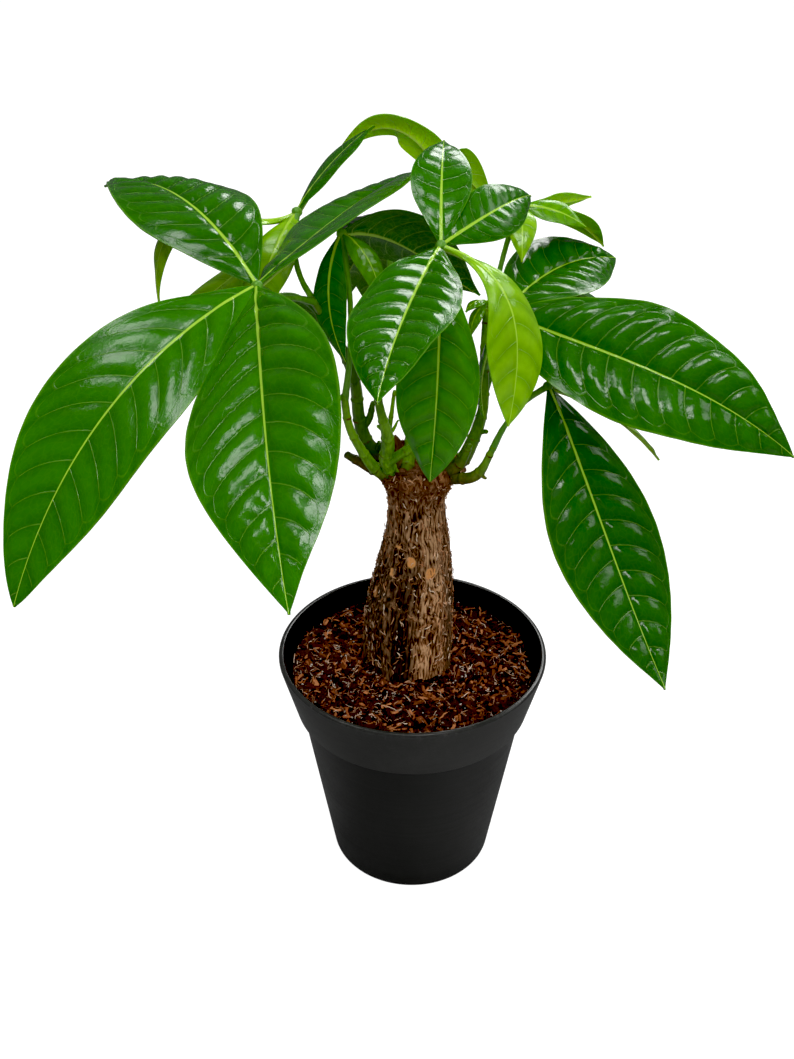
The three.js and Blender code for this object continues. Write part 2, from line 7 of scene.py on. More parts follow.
import bmesh
import bpy
import numpy as np
from bpy.props import FloatProperty, FloatVectorProperty, IntProperty, PointerProperty
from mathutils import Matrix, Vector


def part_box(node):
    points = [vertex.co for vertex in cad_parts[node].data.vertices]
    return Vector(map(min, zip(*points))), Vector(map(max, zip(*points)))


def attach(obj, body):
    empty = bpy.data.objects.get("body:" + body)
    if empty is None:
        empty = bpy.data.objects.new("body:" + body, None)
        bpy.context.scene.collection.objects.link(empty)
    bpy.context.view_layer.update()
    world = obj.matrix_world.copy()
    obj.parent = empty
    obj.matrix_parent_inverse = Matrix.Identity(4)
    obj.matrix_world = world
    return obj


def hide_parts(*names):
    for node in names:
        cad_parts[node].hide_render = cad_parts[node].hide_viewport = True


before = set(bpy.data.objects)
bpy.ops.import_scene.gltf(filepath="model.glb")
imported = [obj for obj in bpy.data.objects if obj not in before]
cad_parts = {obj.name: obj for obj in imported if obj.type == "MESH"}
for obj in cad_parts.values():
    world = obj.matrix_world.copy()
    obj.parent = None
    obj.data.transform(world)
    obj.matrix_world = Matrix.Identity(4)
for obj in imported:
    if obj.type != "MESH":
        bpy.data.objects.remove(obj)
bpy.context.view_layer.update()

bl_info = {
    "name": "Potted Money Tree",
    "version": (1, 0, 0),
    "blender": (4, 5, 0),
    "location": "View3D > Sidebar > Money Tree",
    "description": "Builds a young money tree in a nursery pot, with its leaves, bark and soil",
    "category": "Add Mesh",
}

# Lengths in the tables below are millimetres, and MM turns them into Blender's metres
MM = 0.001
TAU = 2 * math.pi
BODY = "root"
UP = np.array([0.0, 0.0, 1.0])

POT_LOW, POT_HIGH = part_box("pot")

# The photograph's frame in pixels, and the camera that was fitted to it
PHOTO_WIDTH = 794
PHOTO_HEIGHT = 1059
FOCAL_PIXELS = 1250
SENSOR = 36
CAMERA_PLACE = (-6, -392, 394.2)
CAMERA_PITCH = 31.7

# Stage: the place in metres that the lights face, half the floor's width and its gap under the pot
LIT_PLACE = (0, 0, 0.18)
FLOOR_REACH = 9000
FLOOR_GAP = 0.05

# Pot: its height, the radii of its rim, base, band foot and neck, and the height of its rim band
POT_HEIGHT = (POT_HIGH.z - POT_LOW.z) / MM
RIM_RADIUS = (POT_HIGH.x - POT_LOW.x) / 2 / MM
BASE_RADIUS = 32.5
BAND_HEIGHT = 24
BAND_FOOT = POT_HEIGHT - BAND_HEIGHT
BAND_FOOT_RADIUS = 46.2
NECK_RADIUS = 44.2

# Soil: height of its top, dip in the middle, rise at the wall, gap to the pot, and points round it
SOIL_TOP = 88.2
SOIL_DIP = 0.5
SOIL_RISE = 1.3
SOIL_GAP = 0.3
SOIL_SIDES = 160

# Trunk: height, centre and radius of its rings, and its flutes: waves round it, twist, start and depth
TRUNK_RINGS = [
    (24, -3, 10, 4), (38, -2.5, 10, 10), (58, -2, 9.5, 15.2), (76, -1.8, 9, 17.2), (90, -1.6, 9, 17.6),
    (100, -1.4, 9, 17.4), (110, -1.1, 9, 17.1), (119, -0.6, 9, 16.2), (132, 0.4, 9, 14),
    (144.5, 1, 9, 11.9), (153, 1.1, 9, 10.8), (160, 0.9, 9, 10.7), (165.5, 1.6, 9, 11.8),
    (170, 2, 9, 14), (174, 2.1, 9, 15.2), (177, 2.2, 9.3, 13.8),
]
FLUTES = [(5, 0.053, 0, 0.028), (9, -0.077, 0, 0.02), (3, 0, 1, 0.014)]

# Points round the trunk, and round the skin that its flecks lie on
TRUNK_SIDES = 260
FLECK_SIDES = 64

# Roots: how many, the middle that they spread from, the radii of one along it, and points along it
ROOT_COUNT = 5
ROOT_CENTRE = (-2, 6)
ROOT_RADII = (5.5, 3.6, 2.2, 1.2)
ROOT_STEPS = 24

# Bark: middle turn and half spread, in degrees, of the tan strip, partly wear and partly painted light, and
# of the furrow painted with shade beside it
TAN_TURN = -59
TAN_SPREAD = 27
FURROW_TURN = -98
FURROW_SPREAD = 12

# Where the outer bark has come off: turn round the trunk in degrees, height, width and height of the patch
PEELED_PATCHES = [
    (-63, 134.5, 4.2, 4.6), (-97, 139.5, 3.4, 4.4), (-128, 134.5, 1.7, 3.2), (-160, 121.5, 2.6, 5),
    (-124, 145, 2.2, 1.4),
    (40, 128, 4, 5), (120, 140, 3, 5), (75, 112, 3, 4),
]

# Stems: how rough the knob at an end is and how fine a stem's grain, in metres, and points along a route
KNOB_ROUGHNESS = 0.0009
STEM_GRAIN = 0.0022
SHOOT_STEPS = 60
PETIOLE_STEPS = 40

# Scale of the grain on loose chips and fibres
LOOSE_GRAIN = 900.0

# Shoots: route from inside the trunk to the tip, radius at each point, how green it is, and its slot
SHOOTS = {
    "dead_stub": (
        [(-7, 6, 173.5), (-13.5, 3.8, 175.5), (-19, 1.5, 179.5), (-23.5, 0, 183)],
        (3, 2.6, 1.9, 1.3), 0.15, "dead_wood",
    ),
    "shoot_left": (
        [(-6, 11.5, 173.5), (-13, 10, 178.5), (-17, 8.5, 184), (-19.5, 8, 194), (-20.8, 5.5, 210),
         (-26.8, 0, 229), (-33.5, -9, 245)],
        (3.2, 2.6, 2.2, 2, 1.8, 1.3, 1.1), 0.35, "brown_stem",
    ),
    "shoot_left_front": (
        [(-7, 3, 173), (-12.8, 1.5, 176), (-19.2, -2.2, 187.6), (-22.7, -4, 197.2), (-24, -4.5, 208)],
        (2.7, 2.1, 1.6, 1.45, 1.3), 0.75, "green_stem",
    ),
    "shoot_front": (
        [(-6.2, 3.5, 170.5), (-8.6, 0.4, 177.5), (-10, -2, 182.5), (-9.2, -4.5, 189), (-9.5, -7, 195.5),
         (-11, -9, 202.4), (-12.4, -10, 209.7)],
        (2.6, 2.4, 2.4, 2.4, 2, 1.6, 1.4), 0.9, "green_stem",
    ),
    "shoot_back": (
        [(-4.5, 6, 167), (-1.5, 12.5, 176.5), (-0.5, 17, 182), (-1.5, 22, 190), (-3, 30, 205)],
        (2.4, 2.5, 2.2, 1.8, 1.4), 0.8, "green_stem",
    ),
    "shoot_right": (
        [(11, 9, 172.5), (17.5, 8.5, 176.5), (20.9, 10, 182.4), (24.7, 12, 194.7), (24.8, 16, 216.6),
         (25.4, 20, 230)],
        (3.1, 2.5, 1.95, 1.7, 1.5, 1.3), 0.55, "green_stem",
    ),
    "shoot_right_front": (
        [(10.5, 3, 173.5), (15.8, 1.2, 178), (18.2, -0.8, 183.4), (19.4, -2.4, 188)],
        (2.6, 2, 1.6, 1.1), 0.4, "brown_stem",
    ),
    "shoot_right_low": (
        [(10.5, 3.5, 172.4), (15, 1, 173.2), (20.2, -2.8, 175.6), (23.3, -4.6, 178.9), (27.6, -6.9, 190)],
        (2.6, 2.1, 2, 1.4, 1.1), 0.5, "brown_stem",
    ),
}

# Twigs on the shoots: the route of each from inside its shoot to its tip, and its radii
TWIGS = {
    "shoot_front": [
        ([(-9.9, -3, 181.4), (-5.3, -3, 184.8), (-0.7, -3, 187.8), (1.6, -3, 189.8)], (2, 1.7, 1.7, 1.5)),
        ([(-9.3, -4.5, 192), (-8.1, -4, 199.9), (-6.9, -4, 210)], (0.9, 0.8, 0.6)),
        ([(-9.5, -6, 195), (-12.4, -6, 197.6)], (0.9, 0.6)),
        ([(-9, -5.5, 194), (-7.3, -5, 196), (-5.7, -5, 199.4)], (0.8, 0.6, 0.3)),
    ],
    "shoot_left": [
        ([(-18.8, 8.2, 189.5), (-15.8, 8, 194), (-14.6, 8, 199.6)], (1.7, 1.3, 0.9)),
        ([(-13.5, 9.5, 179.5), (-12.2, 6.5, 184.5)], (1.6, 1)),
    ],
    "shoot_right": [([(22.5, 11, 186.3), (25.8, 9.5, 187.8)], (1.2, 0.8))],
    "shoot_right_low": [([(23, -4.7, 178.4), (25.4, -5.2, 176.6)], (1.1, 0.5))],
}


class Leaflet(NamedTuple):
    """One leaflet: how far it reaches from the hub, its width and the bends of its blade.

    arch lifts the midrib over its chord, bend moves that lift to the base and sway bows it sideways.
    fold lifts the halves from the midrib and curl turns their edges down again.
    fresh is its age, from 0 for an old dark leaflet to 1 for a young yellow-green one, quilt is how much
    it swells between its veins, and slant is how far those lean to the tip."""

    reach: tuple
    width: float
    arch: float = 6
    bend: float = 0
    sway: float = 0
    roll: float = 0
    twist: float = 0
    fold: float = 0.24
    curl: float = 0.26
    widest: float = 0.49
    base: float = 1.05
    tip: float = 1
    fresh: float = 0.1
    veins: int = 12
    quilt: float = 1
    slant: float = 0.25


# Fronds: the record's slot, the petiole's route up to the hub, and the leaflets
FRONDS = {
    "frond_left": (
        "dark_leaf", [(-33, -8.4, 244), (-37.5, -18, 249), (-42, -29, 253.5), (-47.4, -40, 261.4)],
        [
            Leaflet((-61, 84, 5), 39, 11, 0, 2.5, -2, 28, widest=0.46, tip=1.15, quilt=0.85),
            Leaflet((-66, -65, -70), 44, 14, 0, 4.3, -14, -5, curl=0.15, widest=0.47, tip=0.8, fresh=0.16,
                    quilt=0.45, slant=0.5),
            Leaflet((16, -112, -39), 46, 8, -0.2, -2.5, 28, -14, curl=0.17, widest=0.51, fresh=0.2,
                    quilt=1, slant=0.55),
            Leaflet((50, 89, 9), 37, 3.5, -0.3, 2.2, -22, 11, fold=0.33, quilt=0.35),
        ],
    ),
    "frond_top_front": (
        "dark_leaf",
        [(-12.2, -9.8, 208), (-12.5, -12, 226), (-5.5, -18.5, 249), (2.5, -25.5, 264), (7.1, -30, 270.1)],
        [
            Leaflet((2, 45.6, 19.2), 19, 5.4, -0.2, -0.8, 5, tip=1.05, fresh=0.12, veins=9, quilt=0.45),
            Leaflet((29.7, 35.3, 4.4), 18, 4.8, -0.25, 0, 40, 11, tip=1.05, fresh=0.12, veins=10),
            Leaflet((-18, -78, -14), 30.5, -0.4, 0, 2.3, 5, 21, 0.36, widest=0.47, fresh=0.1, quilt=1.1),
            Leaflet((-2.8, -23.4, -67.4), 25.5, 6.3, 0, -2, 5, widest=0.58, tip=0.85, fresh=0.33, veins=10,
                    quilt=1.6, slant=0.35),
            Leaflet((20, -28, -46), 24, 11.8, 0.4, -5, -13, 14, widest=0.62, fresh=0.85, veins=8, quilt=0.3),
        ],
    ),
    "frond_right": (
        "dark_leaf", [(24.8, 14.6, 209), (26, 11, 219), (28, 5, 229), (30, 0, 236)],
        [
            Leaflet((90, -42, -31), 42, 13, -0.5, 0.9, 39, 0, 0.36, widest=0.46, base=0.75, tip=0.92,
                    quilt=1.3),
            Leaflet((44, 50, 2), 32.5, 3.8, -0.2, -4.5, 13, 37, 0.27, widest=0.53, tip=0.75, veins=9,
                    quilt=1.2),
            Leaflet((46, 34, -30), 23, veins=9),
            Leaflet((-6, 1, -38), 14, 4, veins=7),
        ],
    ),
    "frond_right_low": (
        "dark_leaf", [(27.2, -6.7, 189), (31.1, -8, 199), (38, -9.5, 209.5), (44.6, -10, 214.8)],
        [
            Leaflet((35.6, -67, -75.7), 42, -5.8, -0.3, -3.5, widest=0.51, fold=0.28, base=0.9, fresh=0),
            Leaflet((45.6, 22, -40), 17, 4, fresh=0.9, veins=8, quilt=0.4),
        ],
    ),
    "frond_right_top": (
        "light_leaf", [(25, 17.6, 221), (28, 24, 234), (32.5, 31, 251), (36.9, 35, 261.8)],
        [
            Leaflet((27.6, 23, -3.3), 11.5, 0.5, 0, -1.5, -52, fresh=1, veins=8, quilt=0.3),
            Leaflet((33, 18.5, -20.3), 16, 3.5, 0, 2, -22, 20, fresh=0.85, veins=8, quilt=0.7),
            Leaflet((22, -7, -5), 10, 3, roll=30, fresh=0.6, veins=6, quilt=0.3),
            Leaflet((-1, -23, -11.6), 10, 4, fresh=0.9, veins=6, quilt=0.3),
        ],
    ),
    "frond_top_back": (
        "mid_leaf", [(-2.8, 29, 204), (2, 40, 225), (8, 50, 246), (12.4, 58, 262.2)],
        [
            Leaflet((-42.2, 1, 8.4), 17, 6, -0.6, -23.5, 41, -23, 0.29, widest=0.42, tip=1.2, fresh=1,
                    veins=9, quilt=0.3),
            Leaflet((18.2, 20, -14), 16.5, 15.5, 0.4, 1, -55, widest=0.53, fresh=0.6, veins=7, quilt=0.6),
            Leaflet((-6, 42, -25), 18, 8, fresh=0.5, veins=9),
        ],
    ),
    "frond_left_inner": (
        "mid_leaf", [(-23.8, -4.4, 207), (-22, -4.5, 222), (-21.5, -1, 242), (-24.2, 5, 262.5)],
        [
            Leaflet((1.4, -17.7, -37.7), 12, 3.8, 0, 3.4, 26, fold=0.15, fresh=0.2, veins=8, quilt=0.5),
            Leaflet((12.7, -11, -19), 11, 4, fresh=0.55, veins=6),
            Leaflet((47.4, 20, -29), 32, 6.3, 0.5, -1.2, -40, 20, 0.4, widest=0.44, base=0.75, fresh=0,
                    veins=9),
            Leaflet((18, 36, -4.5), 14, 0.5, fresh=0.3, veins=8),
        ],
    ),
    "frond_left_back": (
        "light_leaf", [(-30.5, -4.5, 238), (-38, 4, 248), (-40.5, 14, 256), (-39.9, 25, 263.1)],
        [
            Leaflet((-45, -25, -24), 12.9, 15, -1.1, 2.4, -2, -7, widest=0.58, fresh=1, veins=9, quilt=0.3),
            Leaflet((-55, -34, -33), 17, -5, fresh=0.9, veins=9, quilt=0.4),
            Leaflet((-14.6, -31, -30), 17.3, 4, fresh=0.85, veins=8, quilt=0.4),
            Leaflet((26.2, 17, 24.5), 14, 2, roll=-11, fresh=0.05, veins=8, quilt=0.5),
        ],
    ),
    "frond_left_low": (
        "dark_leaf", [(-26, 1, 227), (-34, 12, 233), (-42, 28, 232), (-50, 42, 226)],
        [
            Leaflet((-45, 10, -45), 25, 12, veins=10),
            Leaflet((-22, -14, -60), 25, 10, veins=10),
            Leaflet((2, 42, -55), 25, 14, veins=10),
        ],
    ),
    "frond_back": (
        "dark_leaf", [(-1.5, 23, 192), (-5, 40, 208), (-8, 54, 225), (-9, 62, 238)],
        [
            Leaflet((-9, 60, -48), 30, 14, veins=11),
            Leaflet((24, 50, -40), 25, 12, veins=10),
            Leaflet((-22, 40, -44), 20, 10, veins=9),
        ],
    ),
    "frond_right_back": (
        "dark_leaf", [(20.6, 10.4, 183), (27, 24, 198), (33, 42, 212), (38, 58, 222)],
        [
            Leaflet((46, 40, -40), 27, 12, veins=11),
            Leaflet((8, 60, -46), 24, 12, veins=10),
            Leaflet((56, 12, -32), 22, 8, veins=9),
        ],
    ),
    "young_frond": (
        "mid_leaf", [(25.3, 19.4, 228.5), (25.3, 19.8, 230.5), (25.2, 20.2, 232.5)],
        [
            Leaflet((-7.5, -6, -1), 5.5, 1.5, fresh=0.6, veins=5),
            Leaflet((9, -5, 0), 6, 1.5, fresh=0.6, veins=5),
            Leaflet((-5.5, -6, -10), 5.5, 2, fresh=0.7, veins=5),
        ],
    ),
}

# Leaflets: half width at stalk and tip, and the share of its inner points' rise that a cubic curve reaches
LEAF_STALK = 0.9
LEAF_TIP = 0.35
CUBIC_RISE = 0.75

# Columns of a blade's points, as shares of its half width, and the width of a leaflet that has fewer
SIDE_COLUMNS = (0.018, 0.04, 0.07, 0.11, 0.16, 0.22, 0.29, 0.36, 0.43, 0.5, 0.57, 0.64, 0.71, 0.78, 0.84,
                0.9, 0.95, 1)
NARROW_COLUMNS = (0.04, 0.09, 0.17, 0.28, 0.4, 0.53, 0.66, 0.78, 0.89, 1)
NARROW_LEAF = 18

# Petioles: radii along one, and the young frond's as a share of them
PETIOLE_RADII = (1.3, 0.95, 0.9, 1.2)
YOUNG_PETIOLE = 0.55


# Settings that a user would change
def a_length(name, description, millimetres, **limits):
    """A setting that is a length."""
    return FloatProperty(
        name=name, description=description, default=millimetres * MM, unit="LENGTH", precision=5, **limits,
    )


def a_power(name, description, watts):
    """A setting that is the power of a light."""
    return FloatProperty(name=name, description=description, default=watts, unit="POWER")


def a_share(name, description, default, most=1):
    """A setting that is a share, from none up to the most."""
    return FloatProperty(
        name=name, description=description, default=default, subtype="FACTOR", min=0, max=most,
    )


def a_count(name, description, default, least=1):
    """A setting that is a whole number."""
    return IntProperty(name=name, description=description, default=default, subtype="UNSIGNED", min=least)


def a_density(name, things, default):
    """A setting that is how many things lie on a square metre."""
    return FloatProperty(
        name=name, description=f"{things} to a square metre", default=default, subtype="UNSIGNED", min=1,
    )


def a_colour(name, description, default):
    """A setting that is a colour."""
    return FloatVectorProperty(
        name=name, description=description, default=default, subtype="COLOR", size=3, min=0, max=1,
    )


class StageSettings(bpy.types.PropertyGroup):
    """Floor and light of the studio."""

    floor_colour: a_colour("Floor colour", "Colour of the pale floor", (0.32, 0.32, 0.32))
    floor_glow: a_share("Floor glow", "Light that the floor gives off to the camera alone", 0.91)
    key_power: a_power("Key light", "Power of the light overhead", 4.2)
    back_power: a_power("Back light", "Power of the light behind the plant", 8.2)
    side_power: a_power("Side light", "Power of the light on the plant's right", 1.5)
    left_power: a_power("Left light", "Power of the light high on the plant's left", 2.1)
    fill_power: a_power("Front light", "Power of the light over the camera", 12)
    sky: a_share("Surroundings", "Strength of the even white light from all round", 0.27)
    sky_shine: a_share("Surroundings' shine", "Strength of the surroundings that gloss reflects", 0.13)
    black_point: a_share("Black point", "Light that the picture shows as black", 0.014, 0.1)


class PotSettings(bpy.types.PropertyGroup):
    """Moulded nursery pot."""

    wall: a_length("Wall", "Thickness of the pot's wall", 1.3)
    lip: a_length("Lip", "Thickness of the rim band at its lip", 2.4)
    floor: a_length("Floor", "Thickness of the pot's floor", 1.8)
    segments: a_count("Segments", "Faces round the pot", 160, 24)
    hole_count: a_count("Drain holes", "Holes through the floor", 6)
    hole_radius: a_length("Hole radius", "Radius of a drain hole", 3.6)
    hole_ring: a_length("Hole ring", "Radius of the ring of drain holes", 21)
    colour: a_colour("Plastic", "Colour of the moulded plastic", (0.031, 0.031, 0.0295))


class SoilSettings(bpy.types.PropertyGroup):
    """Coir and bark on top of the soil."""

    chips: a_density("Chips", "Bark chips", 165000)
    fibres: a_density("Fibres", "Coir fibres", 400000)
    grains: a_density("Grains", "Pale grains", 36000)
    seed: a_count("Seed", "Fixes where the chips and fibres lie", 7, 0)
    chip_colour: a_colour("Chips' colour", "Colour of the redder bark chips", (0.4, 0.13, 0.05))


class TrunkSettings(bpy.types.PropertyGroup):
    """Bark of the swollen trunk."""

    ridge: a_length("Ridges", "Height of the bark's ridges", 0.36)
    flecks: a_density("Flecks", "Curled bark flecks", 190000)
    seed: a_count("Seed", "Fixes the pattern of the bark", 3, 0)
    dark: a_colour("Dark bark", "Colour in the bark's furrows", (0.02, 0.011, 0.006))
    pale: a_colour("Pale bark", "Colour on the bark's ridges", (0.4, 0.22, 0.11))


class LeafSettings(bpy.types.PropertyGroup):
    """Blades of the leaflets."""

    thickness: a_length("Thickness", "Thickness of a blade beside its midrib", 0.5)
    quilting: a_length("Quilting", "How far the blade swells up between two side veins", 1.25)
    row_length: a_length("Row length", "Length of one row of faces along a blade", 0.85, min=0.3 * MM)
    seed: a_count("Seed", "Fixes how the leaflets differ", 11, 0)
    old_colour: a_colour("Old leaf", "Colour of an old leaflet's upper side", (0.018, 0.125, 0.0015))
    young_colour: a_colour("Young leaf", "Colour of a young leaflet's upper side", (0.3, 0.56, 0.014))


SETTINGS = {
    "money_tree_stage": StageSettings,
    "money_tree_pot": PotSettings,
    "money_tree_soil": SoilSettings,
    "money_tree_trunk": TrunkSettings,
    "money_tree_leaf": LeafSettings,
}


# Shapes worked out as arrays of points
def unit(v):
    """Vectors of length 1 with the same directions."""
    return v / np.linalg.norm(v, axis=-1, keepdims=True)


def turned(v, axis, angle):
    """v turned about a unit axis, by one angle or by one to each row."""
    angle = np.asarray(angle, float)[..., None]
    kept = axis * (axis * v).sum(-1, keepdims=True)
    return v * np.cos(angle) + np.cross(axis, v) * np.sin(angle) + kept * (1 - np.cos(angle))


def eased(value, low, high):
    """0 below low, 1 above high and smooth between them."""
    share = np.clip((value - low) / (high - low), 0, 1)
    return share * share * (3 - 2 * share)


def ripples(points, size, seed, waves=8):
    """A smooth uneven field from about -1 to 1: waves of about one size in random directions."""
    rng = np.random.default_rng(seed)
    directions = unit(rng.normal(size=(waves, points.shape[-1])))
    lengths = size * rng.uniform(0.7, 1.6, (waves, 1))
    swings = points @ (TAU * directions / lengths).T + rng.uniform(0, TAU, waves)
    return np.sin(swings).sum(-1) / math.sqrt(waves)


def smooth_route(points, count):
    """Evenly spaced points of a centripetal Catmull-Rom curve through the given ones."""
    given = np.array(points, float)
    whole = np.vstack([2 * given[0] - given[1], given, 2 * given[-1] - given[-2]])
    parts = []
    for start in range(len(given) - 1):
        corners = whole[start:start + 4]
        steps = np.sqrt(np.linalg.norm(np.diff(corners, axis=0), axis=1))
        knots = np.concatenate([[0], np.cumsum(steps)])
        at = np.linspace(knots[1], knots[2], 32, endpoint=False)[:, None]
        level = [np.broadcast_to(corner, (len(at), given.shape[1])) for corner in corners]
        for reach in (1, 2):
            level = [
                (knots[i + reach] - at) / (knots[i + reach] - knots[i]) * level[i]
                + (at - knots[i]) / (knots[i + reach] - knots[i]) * level[i + 1]
                for i in range(len(level) - 1)
            ]
        share = (at - knots[1]) / (knots[2] - knots[1])
        parts.append(level[0] * (1 - share) + level[1] * share)
    fine = np.vstack([*parts, given[-1:]])
    gone = np.concatenate([[0], np.cumsum(np.linalg.norm(np.diff(fine, axis=0), axis=1))])
    even = np.linspace(0, gone[-1], count)
    return np.stack([np.interp(even, gone, fine[:, axis]) for axis in range(given.shape[1])], 1)


def grid_faces(rows, columns, start=0, closed=False):
    """Quads between the rows and columns of a grid of points, the columns joined round if closed."""
    row, column = np.mgrid[0:rows - 1, 0:columns if closed else columns - 1]
    beside = (column + 1) % columns
    corners = [row * columns + column, row * columns + beside,
               (row + 1) * columns + beside, (row + 1) * columns + column]
    return start + np.stack([corner.ravel() for corner in corners], 1)


def new_object(name, points, quads, materials=()):
    """A mesh object of quads, from points in millimetres."""
    mesh = bpy.data.meshes.new(name)
    mesh.vertices.add(len(points))
    mesh.vertices.foreach_set("co", (np.asarray(points) * MM).astype(np.float32).ravel())
    mesh.loops.add(4 * len(quads))
    mesh.loops.foreach_set("vertex_index", np.asarray(quads, np.int32).ravel())
    mesh.polygons.add(len(quads))
    mesh.polygons.foreach_set("loop_start", np.arange(0, 4 * len(quads), 4, dtype=np.int32))
    mesh.update(calc_edges=True)
    mesh.polygons.foreach_set("use_smooth", np.ones(len(quads), bool))
    for material in materials:
        mesh.materials.append(material)
    made = bpy.data.objects.new(name, mesh)
    bpy.context.scene.collection.objects.link(made)
    return made


def ring_object(name, rings, materials=()):
    """A mesh object with a skin between rings that all have the same number of points."""
    return new_object(name, np.vstack(rings), grid_faces(len(rings), len(rings[0]), closed=True), materials)


def close_ends(obj):
    """Fills the open ends of a turned skin, and turns its faces outward."""
    cage = bmesh.new()
    cage.from_mesh(obj.data)
    open_edges = [edge for edge in cage.edges if edge.is_boundary]
    bmesh.ops.holes_fill(cage, edges=open_edges, sides=0)
    bmesh.ops.recalc_face_normals(cage, faces=cage.faces)
    cage.to_mesh(obj.data)
    cage.free()


def add_number(obj, name, values):
    """Gives the points of a mesh a number each, which materials read by name."""
    layer = obj.data.attributes.new(name, "FLOAT", "POINT")
    layer.data.foreach_set("value", np.asarray(values, np.float32).ravel())


def add_map(obj, name, corners):
    """Gives the corners of a mesh's faces a UV map."""
    layer = obj.data.uv_layers.new(name=name)
    layer.data.foreach_set("uv", np.asarray(corners, np.float32).ravel())


def new_route(name, points, radii):
    """A hidden curve along points in millimetres, which a tree of nodes sweeps."""
    curve = bpy.data.curves.new(name, "CURVE")
    curve.dimensions = "3D"
    spline = curve.splines.new("POLY")
    spline.points.add(len(points) - 1)
    for spot, place, radius in zip(spline.points, points, radii):
        spot.co = (*(np.asarray(place) * MM), 1)
        spot.radius = radius * MM
    made = bpy.data.objects.new(name, curve)
    bpy.context.scene.collection.objects.link(made)
    return made


def carrier(name):
    """An object with an empty mesh, for a tree of nodes to fill."""
    return new_object(name, np.zeros((0, 3)), np.zeros((0, 4), int))


def settle(piece, replaced=None, sharp=40):
    """Ends the making of a piece: sharp edges, the body it rides on and the node it stands for, which it
    hides.
    """
    piece.data.set_sharp_from_angle(angle=math.radians(sharp))
    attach(piece, BODY)
    if replaced:
        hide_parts(replaced)


# Node trees, for geometry and for materials
class Value:
    """What one output of a node gives. A sum made with it becomes a further node of its tree."""

    def __init__(self, tree, socket):
        self.tree = tree
        self.socket = socket

    def __getitem__(self, name):
        """What another output of the same node gives."""
        return Value(self.tree, self.socket.node.outputs[name])

    def __add__(self, other):
        return number("ADD", self, other)

    def __sub__(self, other):
        return number("SUBTRACT", self, other)

    def __mul__(self, other):
        return number("MULTIPLY", self, other)

    def __truediv__(self, other):
        return number("DIVIDE", self, other)

    def __rtruediv__(self, other):
        return number("DIVIDE", other, self)

    def __abs__(self):
        return number("ABSOLUTE", self)


def feed(socket, value):
    """Links an input to what another node gives, or sets it to a value of its own."""
    if isinstance(value, Value):
        value.tree.links.new(value.socket, socket)
    elif socket.type == "RGBA":
        socket.default_value = (*value[:3], 1)
    else:
        socket.default_value = value


def add(tree, kind, values=None, **settings):
    """A new node's first output. The node has settings, and inputs fed by name or number."""
    made = tree.nodes.new(kind)
    for name, value in settings.items():
        setattr(made, name, value)
    for name, value in (values or {}).items():
        feed(made.inputs[name], value)
    return Value(tree, made.outputs[0])


def node(kind, values, **settings):
    """The first output of a new node in the tree that its values come from."""
    tree = next(value.tree for value in values.values() if isinstance(value, Value))
    return add(tree, kind, values, **settings)


def number(operation, *values, clamp=False):
    """The result of an operation on numbers."""
    return node("ShaderNodeMath", dict(enumerate(values)), operation=operation, use_clamp=clamp)


def vector(operation, *values):
    """The result of an operation on vectors."""
    return node("ShaderNodeVectorMath", dict(enumerate(values)), operation=operation)


def scaled(value, scale):
    """A vector made longer or shorter."""
    return node("ShaderNodeVectorMath", {0: value, "Scale": scale}, operation="SCALE")


def combined(x=0.0, y=0.0, z=0.0):
    """A vector of three numbers."""
    return node("ShaderNodeCombineXYZ", {"X": x, "Y": y, "Z": z})


def separated(value):
    """A vector's three numbers, named X, Y and Z."""
    return node("ShaderNodeSeparateXYZ", {0: value})


def from_axis(place):
    """How far places lie from the Z axis."""
    return vector("LENGTH", vector("MULTIPLY", place, (1, 1, 0)))["Value"]


def remap(value, low, high, to_low=0.0, to_high=1.0):
    """value from low to high becomes to_low to to_high, with smooth ends."""
    values = {"Value": value, "From Min": low, "From Max": high, "To Min": to_low, "To Max": to_high}
    return node("ShaderNodeMapRange", values, interpolation_type="SMOOTHSTEP")


def cloud(place, scale, detail=4.0, rough=0.55, distortion=0.0):
    """Smooth noise from 0 to 1."""
    values = {"Vector": place, "Scale": scale, "Detail": detail, "Roughness": rough, "Distortion": distortion}
    return node("ShaderNodeTexNoise", values)


def new_tree(name, kind, inputs, outputs):
    """A tree of nodes, what its named inputs give, and its outputs.

    An input is a name with a default, or with the type of its socket if it has none."""
    tree = bpy.data.node_groups.new(name, kind)
    for label, default in inputs.items():
        word = default if isinstance(default, str) else type(default).__name__.title()
        socket = tree.interface.new_socket(label, in_out="INPUT", socket_type="NodeSocket" + word)
        if word != default:
            socket.default_value = default
    for label, word in outputs.items():
        tree.interface.new_socket(label, in_out="OUTPUT", socket_type="NodeSocket" + word)
    source = tree.nodes.new("NodeGroupInput").outputs
    given = {label: Value(tree, source[label]) for label in inputs}
    return tree, given, tree.nodes.new("NodeGroupOutput").inputs


def geometry_tree(name, inputs):
    """A geometry tree with the given inputs besides those for its geometry and its material."""
    whole = {"Geometry": "Geometry", **inputs, "Material": "Material"}
    return new_tree(name, "GeometryNodeTree", whole, {"Geometry": "Geometry"})


